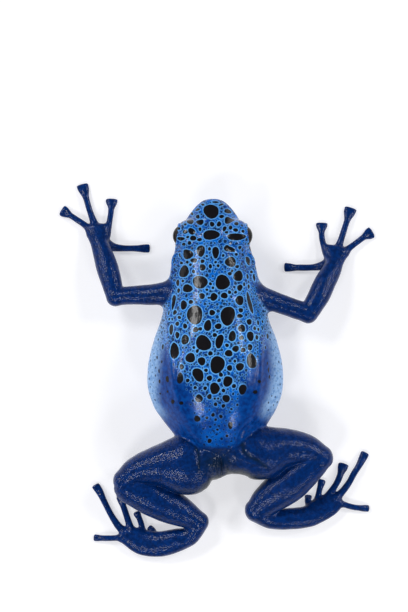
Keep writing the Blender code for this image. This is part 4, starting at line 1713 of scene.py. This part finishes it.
    def drawn(self, lines: Sequence[Sequence[tuple]], width: float) -> Array:
        """Marks what lies under lines drawn over the photograph.

        Args:
            lines: the lines, as points in photo pixels.
            width: how far to either side they reach.

        Returns:
            1 along the lines, fading to either side.
        """
        px, py = to_photo(self.points)
        best = np.full(len(px), FAR_OFF)
        for line in lines:
            for (x0, y0), (x1, y1) in zip(line, line[1:]):
                run, fall = x1 - x0, y1 - y0
                share = ((px - x0) * run + (py - y0) * fall) / (run**2 + fall**2)
                share = np.clip(share, 0, 1)
                best = np.minimum(best, np.hypot(px - x0 - share * run, py - y0 - share * fall))
        return bump(best, width)

    def painted_groin_shade(self) -> Array:
        """Marks the painted shade between and behind the thighs: on skin that turns under, round
        the vent and along the creases at the thighs' roots.

        Returns:
            1 where the painted shade is darkest and 0 elsewhere.
        """
        _, py = to_photo(self.points)
        x, z, facing = self.points[:, 0], self.points[:, 2], self.normals[:, 2]
        around = self.groin_start.over(py) * self.groin_end.over(py)
        around *= self.groin_facing.over(facing)
        around *= self.groin_sides.over(np.abs(x - self.groin_middle))
        vent = self.vent_across.over(x) * self.vent_along.over(py)
        # Painted shade along the creases at the thighs' roots.
        creases = self.crease_shade * self.drawn(GROIN_CREASES, self.crease_width)
        creases *= self.crease_height.over(z)
        return np.maximum(np.maximum(around, vent), creases)

    def all(self) -> dict[str, Array]:
        """Makes every layer of markings.

        Returns:
            The layers by name.
        """
        _, py = to_photo(self.points)
        z, facing = self.points[:, 2], self.normals[:, 2]
        body, shoulder = self.on_body(), self.shoulder.over(py)
        saddle = self.between(SADDLE, self.saddle_soft)
        flank = 1 - self.between(FLANKS, self.flank_soft)
        flank = flank * self.flank_end.over(py) * self.flank_start.over(py)
        navy = np.maximum(1 - body, self.rump.over(py))
        unseen = self.unseen.over(facing) * self.unseen_end.over(py) * (1 - navy)
        unseen *= 1 - self.shoulder_loss * shoulder - self.belly_loss * self.belly.over(facing)
        spot = self.spots()
        strewn = self.strewn(unseen, spot, self.big_marks, self.big_gap, seed=5)
        spot = np.minimum(spot, strewn)
        sky = saddle * (1 - self.low_sides.over(z) * shoulder)
        sky = sky * (1 - self.back_loss * self.lower_back.over(py))
        fine = sky * (1 - self.fine_loss * self.fine_thins.over(py))
        fine = fine * (1 - self.under_loss * self.fine_under.over(facing))
        fine = np.clip(fine + self.flank_gain * flank, 0, 1) * (1 - navy)
        halo = self.halo_least + self.halo_middle.over(py)
        halo = halo - self.halo_loss * self.halo_ends.over(py)
        return {
            "spot": spot,
            "fleck": self.strewn(fine, spot, self.fine_marks, self.fine_gap, seed=11),
            "painted_groin_shade": self.painted_groin_shade(),
            "sky": sky,
            "net": sky * halo,
            "pale": flank * self.flank_height.over(z),
            "navy": navy,
            "under": self.under.over(facing),
        }


def tint(red: float, green: float, blue: float) -> Colour:
    """A colour given as seen on a screen, from 0 to 255, in the linear values of shaders."""
    shares = (v / 255 for v in (red, green, blue))
    return tuple(v / 12.92 if v <= 0.04045 else ((v + 0.055) / 1.055) ** 2.4 for v in shares)


class Graph:
    """One material's shader, built node by node and laid out in rows."""

    COLUMNS = 12
    CORNER = (-2600, 900)
    ROOM = (190, -260)

    def __init__(self, name: str) -> None:
        """Makes the material and finds its main shader.

        Args:
            name: the material's name.
        """
        self.material = bpy.data.materials.new(name)
        self.material.use_nodes = True
        self.tree = self.material.node_tree
        self.shader = self.tree.nodes["Principled BSDF"]
        self.count = 0

    def node(self, kind: str, **settings: object) -> bpy.types.Node:
        """Adds a node.

        Args:
            kind: the node's kind.
            **settings: its settings by name.

        Returns:
            The node.
        """
        made = self.tree.nodes.new(kind)
        self.count += 1
        turns = (self.count % self.COLUMNS, self.count // self.COLUMNS)
        made.location = [c + r * n for c, r, n in zip(self.CORNER, self.ROOM, turns)]
        for name, value in settings.items():
            setattr(made, name, value)
        return made

    def feed(self, socket: Socket, value: object) -> None:
        """Links a socket to another, or sets its value.

        Args:
            socket: the socket to feed.
            value: another socket, a number, a colour or a direction.
        """
        if isinstance(value, Socket):
            self.tree.links.new(value, socket)
        elif isinstance(value, tuple) and socket.type == "RGBA":
            socket.default_value = (*value, 1.0)
        else:
            socket.default_value = value

    def set(self, **values: object) -> None:
        """Sets the main shader's inputs, named with underscores for spaces."""
        for name, value in values.items():
            self.feed(self.shader.inputs[name.replace("_", " ")], value)

    def math(self, operation: str, *values: Value) -> Socket:
        """Reckons with numbers.

        Args:
            operation: what to do with them.
            *values: the numbers.

        Returns:
            The outcome.
        """
        made = self.node("ShaderNodeMath", operation=operation)
        for socket, value in zip(made.inputs, values):
            self.feed(socket, value)
        return made.outputs[0]

    def times(self, one: Value, two: Value) -> Socket:
        """One number times another."""
        return self.math("MULTIPLY", one, two)

    def scaled(self, value: Value, by: Value, plus: Value) -> Socket:
        """A number times a factor, plus an offset."""
        return self.math("MULTIPLY_ADD", value, by, plus)

    def rise(self, value: Value, low: Value, high: Value) -> Socket:
        """Rises smoothly from 0 at low to 1 at high.

        Args:
            value: the number that changes.
            low: where the rise starts.
            high: where it ends.

        Returns:
            The share from 0 to 1.
        """
        made = self.node("ShaderNodeMapRange", interpolation_type="SMOOTHSTEP")
        for name, given in (("Value", value), ("From Min", low), ("From Max", high)):
            self.feed(made.inputs[name], given)
        return made.outputs[0]

    def mix(self, share: Value, one: Tone, two: Tone) -> Socket:
        """Turns one colour into another.

        Args:
            share: how much of the second colour there is.
            one: the first colour.
            two: the second.

        Returns:
            The mixed colour.
        """
        made = self.node("ShaderNodeMix", data_type="RGBA")
        for number, given in ((0, share), (6, one), (7, two)):
            self.feed(made.inputs[number], given)
        return made.outputs[2]

    def layer(self, name: str) -> Socket:
        """A value that the mesh carries on its points."""
        return self.node("ShaderNodeAttribute", attribute_name=name).outputs["Fac"]

    def position(self) -> Socket:
        """The place on the piece, in metres."""
        return self.node("ShaderNodeTexCoord").outputs["Object"]

    def noise(self, place: Socket, size: float, detail: float = 2.0) -> Socket:
        """Makes soft random values from 0 to 1.

        Args:
            place: where each is read.
            size: how large the lumps are, in millimetres.
            detail: how many finer lumps lie in each.

        Returns:
            The values.
        """
        made = self.node("ShaderNodeTexNoise")
        self.feed(made.inputs["Vector"], place)
        made.inputs["Scale"].default_value = 1 / (size * MM)
        made.inputs["Detail"].default_value = detail
        return made.outputs["Fac"]

    def cells(self, place: Socket, size: float) -> tuple[Socket, Socket]:
        """Makes random cells.

        Args:
            place: where they are read.
            size: how large they are, in millimetres.

        Returns:
            How far a cell's centre is, in millimetres, and a random value for each.
        """
        made = self.node("ShaderNodeTexVoronoi", feature="F1")
        self.feed(made.inputs["Vector"], place)
        made.inputs["Scale"].default_value = 1 / (size * MM)
        away = self.times(made.outputs["Distance"], size)
        split = self.node("ShaderNodeSeparateColor")
        self.feed(split.inputs[0], made.outputs["Color"])
        return away, split.outputs[0]

    def bump(
        self, height: Value, distance: float, strength: Value, after: Socket | None = None
    ) -> Socket:
        """Tilts the skin's direction as a fine relief would.

        Args:
            height: the relief, from 0 to 1.
            distance: how high it is, in millimetres.
            strength: how much of it shows.
            after: the direction that it starts from, if not the mesh's own.

        Returns:
            The direction.
        """
        made = self.node("ShaderNodeBump")
        self.feed(made.inputs["Height"], height)
        self.feed(made.inputs["Strength"], strength)
        made.inputs["Distance"].default_value = distance * MM
        if after is not None:
            self.feed(made.inputs["Normal"], after)
        return made.outputs["Normal"]


@dataclass(frozen=True)
class SkinFinish:
    """Wet granular skin: sky blue with haloed black spots, pale flanks, navy limbs, and painted
    shade between the thighs.

    Sizes are millimetres, and a change is from where to where in a value one colour turns into
    another.
    """

    name: str = "spotted_skin"
    black: Colour = tint(18, 17, 21)
    halo: Colour = tint(106, 182, 248)
    sky: Colour = tint(0, 100, 200)
    sky_dark: Colour = tint(0, 60, 146)
    deep: Colour = tint(0, 70, 152)
    deep_dark: Colour = tint(0, 43, 112)
    pale: Colour = tint(146, 184, 228)
    pale_dark: Colour = tint(92, 140, 198)
    navy: Colour = tint(0, 46, 112)
    navy_dark: Colour = tint(0, 30, 80)
    # The colour of the painted shade between and behind the thighs.
    painted_shade: Colour = tint(8, 26, 36)
    fleck: Colour = tint(3, 22, 54)
    speck: Colour = tint(0, 26, 74)
    belly: Colour = tint(10, 66, 136)
    grain_size: float = 0.42
    patch_size: float = 1.9
    patch_change: Fade = Fade(0.35, 0.65)
    deep_size: float = 0.6
    deep_change: Fade = Fade(0.3, 0.7)
    pale_size: float = 0.5
    pale_change: Fade = Fade(0.42, 0.72)
    limb_size: float = 0.5
    limb_change: Fade = Fade(0.3, 0.72)
    edge_waver: float = 0.12
    saddle_waver: float = 0.3
    saddle_set_back: float = 0.15
    spot_edge: Fade = Fade(0.035, -0.035)
    spot_loss_on_navy: float = 0.8
    halo_least: float = 0.11
    halo_spread: float = 0.26
    halo_end: float = 0.04
    fleck_waver: float = 0.16
    fleck_waver_size: float = 0.25
    fleck_halo: Fade = Fade(0.16, 0.04)
    fleck_halo_share: float = 0.65
    fleck_edge: Fade = Fade(0.04, -0.04)
    fleck_share: float = 0.92
    speck_squash: Place = (1.0, 1.0, 0.45)
    speck_clear: Fade = Fade(0.05, 0.16)
    speck_edge: Fade = Fade(0.03, -0.05)
    specks: tuple[tuple[float, ...], ...] = ((0.55, 0.08, 0.16, 0.805), (0.34, 0.06, 0.08, 0.575))
    pore_size: float = 0.26
    pore_height: float = 0.055
    pore_depth: float = -3.2
    pore_share: Fade = Fade(0.25, 0.85)
    swell_size: float = 0.5
    swell_height: float = 0.04
    swell_share: float = 0.25
    roughness: float = 0.22
    roughness_spread: float = 0.2
    wetness: float = 0.3
    wetness_spread: float = 0.5

    def flecked(self, g: Graph, colour: Tone, edge: Value, sky: Value, net: Value) -> Socket:
        """Strews haloed flecks and finer specks over the skin between the black spots.

        Args:
            g: the shader that is built.
            colour: the skin's colour.
            edge: how far the nearest black spot is.
            sky: how much of the spotted blue there is.
            net: how much of the pale rims there is.

        Returns:
            The skin's colour with its flecks.
        """
        flat = g.node("ShaderNodeVectorMath", operation="MULTIPLY")
        g.feed(flat.inputs[0], g.position())
        flat.inputs[1].default_value = self.speck_squash
        clear = g.rise(edge, *self.speck_clear)
        waver = g.noise(g.position(), self.fleck_waver_size)
        waver = g.scaled(waver, self.fleck_waver, -self.fleck_waver / 2)
        fleck = g.math("ADD", g.layer("fleck"), waver)
        rim = g.times(g.rise(fleck, *self.fleck_halo), g.times(net, self.fleck_halo_share))
        colour = g.mix(rim, colour, self.halo)
        for size, low, spread, depth in self.specks:
            away, chance = g.cells(flat.outputs[0], size)
            rest = g.math("SUBTRACT", away, g.scaled(chance, spread, low))
            speck = g.times(g.rise(rest, *self.speck_edge), g.times(sky, depth))
            colour = g.mix(g.times(speck, clear), colour, self.speck)
        return g.mix(g.times(g.rise(fleck, *self.fleck_edge), self.fleck_share), colour, self.fleck)

    def material(self) -> bpy.types.Material:
        """Builds the shader.

        Returns:
            The material.
        """
        g = Graph(self.name)
        place = g.position()
        grain, patch = g.noise(place, self.grain_size, 3.0), g.noise(place, self.patch_size)
        waver = g.scaled(grain, self.edge_waver, -self.edge_waver / 2)
        edge = g.math("ADD", g.layer("spot"), waver)
        navy, sky, net, pale = (g.layer(name) for name in ("navy", "sky", "net", "pale"))

        def mottled(size: float, detail: float, change: Fade, one: Colour, two: Colour) -> Socket:
            """Two colours in lumps of a size."""
            return g.mix(g.rise(g.noise(place, size, detail), *change), one, two)

        skin = g.mix(g.rise(patch, *self.patch_change), self.sky, self.sky_dark)
        deep = mottled(self.deep_size, 4.0, self.deep_change, self.deep, self.deep_dark)
        flank = mottled(self.pale_size, 3.0, self.pale_change, self.pale, self.pale_dark)
        limb = mottled(self.limb_size, 4.0, self.limb_change, self.navy_dark, self.navy)
        saddle = g.math("SUBTRACT", sky, self.saddle_set_back)
        saddle = g.scaled(grain, self.saddle_waver, saddle)
        colour = g.mix(g.rise(saddle, 0.0, 1.0), deep, skin)
        colour = g.mix(g.layer("under"), colour, self.belly)
        colour = g.mix(pale, colour, flank)
        halo_start = g.scaled(patch, self.halo_spread, self.halo_least)
        halo = g.times(g.rise(edge, halo_start, self.halo_end), net)
        colour = self.flecked(g, g.mix(halo, colour, self.halo), edge, sky, net)
        # Painted shade: the limbs darken between and behind the thighs, where the skin turns under,
        # round the vent and in the creases.
        limb = g.mix(g.layer("painted_groin_shade"), limb, self.painted_shade)
        colour = g.mix(navy, colour, limb)
        spot_share = g.scaled(navy, -self.spot_loss_on_navy, 1.0)
        dark = g.times(g.rise(edge, *self.spot_edge), spot_share)
        colour = g.mix(dark, colour, self.black)
        pores, _ = g.cells(place, self.pore_size)
        least, most = self.pore_share
        pore_share = g.scaled(navy, most - least, least)
        normal = g.bump(g.times(pores, self.pore_depth), self.pore_height, pore_share)
        swell = g.noise(place, self.swell_size)
        normal = g.bump(swell, self.swell_height, self.swell_share, normal)
        roughness = g.scaled(grain, self.roughness_spread, self.roughness)
        g.set(Base_Color=colour, Roughness=roughness, Normal=normal)
        wet = g.scaled(g.math("MAXIMUM", sky, navy), self.wetness_spread, self.wetness)
        g.set(Coat_Weight=wet, Coat_Roughness=0.1, Coat_IOR=1.26, Coat_Normal=normal)
        g.set(IOR=1.4, Specular_IOR_Level=0.1)
        return g.material


@dataclass(frozen=True)
class EyeFinish:
    """A dark eye: black pupil, brown-black iris and a wet clear surface."""

    name: str = "eye"
    pupil: Colour = tint(4, 4, 5)
    iris: Colour = tint(24, 19, 17)
    iris_rim: Colour = tint(54, 47, 42)
    white: Colour = tint(16, 17, 22)
    pupil_edge: float = math.radians(31)
    pupil_soft: float = 0.05
    iris_edge: float = math.radians(62)
    iris_soft: float = 0.12
    streak_size: float = 0.16
    streak_change: Fade = Fade(0.4, 0.7)
    waver_size: float = 0.35
    waver: float = 0.1
    roughness: float = 0.12
    roughness_spread: float = 0.1

    def material(self) -> bpy.types.Material:
        """Builds the shader.

        Returns:
            The material.
        """
        g = Graph(self.name)
        place = g.position()
        waver = g.scaled(g.noise(place, self.waver_size, 3.0), self.waver, -self.waver / 2)
        angle = g.math("ADD", g.layer("from_gaze"), waver)
        streaks = g.noise(place, self.streak_size, 3.0)
        iris = g.mix(g.rise(streaks, *self.streak_change), self.iris, self.iris_rim)
        pupil_end = g.rise(angle, self.pupil_edge, self.pupil_edge + self.pupil_soft)
        iris_end = g.rise(angle, self.iris_edge - self.iris_soft, self.iris_edge)
        colour = g.mix(iris_end, g.mix(pupil_end, self.pupil, iris), self.white)
        roughness = g.scaled(streaks, self.roughness_spread, self.roughness)
        g.set(Base_Color=colour, Roughness=roughness)
        g.set(Coat_Weight=0.45, Coat_Roughness=0.03, Coat_IOR=1.33)
        g.set(IOR=1.33, Specular_IOR_Level=0.05)
        return g.material


@dataclass(frozen=True)
class FloorFinish:
    """A plain pale floor, lit a little from below like a table for taking pictures."""

    name: str = "pale_floor"
    colour: Colour = (0.53, 0.53, 0.545)
    glow: Colour = (0.53, 0.532, 0.55)

    def material(self) -> bpy.types.Material:
        """Builds the shader.

        Returns:
            The material.
        """
        g = Graph(self.name)
        g.set(Base_Color=self.colour, Roughness=0.7, Specular_IOR_Level=0.1)
        g.set(Emission_Color=self.glow, Emission_Strength=1.0)
        return g.material


@dataclass(frozen=True)
class Softbox:
    """One lamp, aimed at the frog: where it hangs, how wide and tall it is, and how bright.

    Angles are degrees, from the head's side round by the frog's left, and lengths are metres.
    """

    azimuth: float
    height: float
    wide: float
    tall: float
    glare: float
    distance: float = 0.6

    def build(self) -> bpy.types.Object:
        """Makes the lamp and hangs it.

        Returns:
            The lamp.
        """
        light = bpy.data.lights.new("softbox", "AREA")
        light.shape = "RECTANGLE"
        light.size, light.size_y = self.wide, self.tall
        light.energy = self.glare * math.pi * self.wide * self.tall
        lamp = linked("softbox", light)
        turn, lift = math.radians(self.azimuth), math.radians(self.height)
        level = math.cos(lift)
        place = Vector((level * math.sin(turn), -level * math.cos(turn), math.sin(lift)))
        lamp.location = place * self.distance
        lamp.rotation_mode = "QUATERNION"
        lamp.rotation_quaternion = place.to_track_quat("Z", "Y")
        return lamp


@dataclass
class Studio:
    """The floor, the lamps, the soft surround and the camera straight above, in metres."""

    shift: Array
    lamps: tuple[Softbox, ...] = (
        Softbox(azimuth=45, height=43, wide=0.2, tall=0.085, glare=24.0),
        Softbox(azimuth=-57, height=42, wide=0.12, tall=0.085, glare=24.0),
        Softbox(azimuth=150, height=46, wide=0.145, tall=0.1, glare=23.0),
        Softbox(azimuth=-152, height=36, wide=0.105, tall=0.085, glare=21.0),
        Softbox(azimuth=82, height=29, wide=0.26, tall=0.04, glare=26.0),
        Softbox(azimuth=-86, height=29, wide=0.26, tall=0.045, glare=28.0),
    )
    floor_reach: float = 1.5
    surround: float = 0.09
    surround_colour: Colour = (0.93, 0.96, 1.0)
    camera_height: float = 1.2
    camera_range: tuple[float, float] = (0.1, 5.0)
    true_size_height: float = 0.004
    sensor: float = 36.0

    def build_floor(self) -> bpy.types.Object:
        """Lays the floor.

        Returns:
            The floor.
        """
        far = self.floor_reach
        corners = [(-far, -far, 0), (far, -far, 0), (far, far, 0), (-far, far, 0)]
        mesh = bpy.data.meshes.new("floor")
        mesh.from_pydata(corners, [], [(0, 1, 2, 3)])
        mesh.materials.append(FloorFinish().material())
        floor = linked("floor", mesh)
        floor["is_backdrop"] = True
        return floor

    def build_surround(self) -> None:
        """Sets the soft light from all round."""
        world = bpy.data.worlds.new("studio")
        world.use_nodes = True
        background = world.node_tree.nodes["Background"]
        background.inputs[0].default_value = (*self.surround_colour, 1.0)
        background.inputs[1].default_value = self.surround
        bpy.context.scene.world = world

    def build_camera(self) -> bpy.types.Object:
        """Hangs the camera straight above, turned so that the head is at the picture's top.

        Returns:
            The camera.
        """
        data = bpy.data.cameras.new("camera")
        data.sensor_width = self.sensor
        data.lens = self.sensor * self.camera_height / (PHOTO_SIZE[1] * MM_PER_PIXEL * MM)
        data.clip_start, data.clip_end = self.camera_range
        camera = linked("camera", data)
        x, y = from_photo(PHOTO_SIZE[0] / 2, PHOTO_SIZE[1] / 2)
        camera.location = (
            (x + self.shift[0]) * MM,
            (y + self.shift[1]) * MM,
            self.camera_height + self.true_size_height,
        )
        camera.rotation_euler = (0, 0, math.pi)
        bpy.context.scene.camera = camera
        return camera

    def build(self) -> None:
        """Sets up the whole studio."""
        self.build_floor()
        self.build_surround()
        for lamp in self.lamps:
            lamp.build()
        self.build_camera()
        bpy.context.scene.view_settings.view_transform = "Standard"


def main() -> None:
    """Builds the eyes, the skin and the studio, and keeps the sizes of both models."""
    logging.basicConfig(level=logging.INFO, format="%(name)s: %(message)s")
    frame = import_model()
    cad_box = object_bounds()
    corners = [Vector(corner) for eye in ("eye_left", "eye_right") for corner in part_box(eye)]
    middle = sum(corners, Vector()) / 4 / MM
    body = BodyForm()
    middle_x = float(body.section(np.array(EYE_Y))[0])
    shift = np.array(middle) - np.array([middle_x, EYE_Y, EYE_Z])
    eyes = [Eye(side, middle_x) for side in Side]
    for eye in eyes:
        LOG.info("built %s", eye.build(shift, EyeFinish()).name)
    limits = tuple(np.array(corner) / MM for corner in cad_box)
    skin = FrogSkin(shift, eyes, limits, body).build(SkinFinish())
    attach(skin, "root")
    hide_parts(*[node for node in frame["nodes"] if not node.startswith("eye_")])
    LOG.info("built %s", skin.name)
    Studio(shift).build()
    LOG.info("built the studio")


if __name__ == "__main__":
    main()
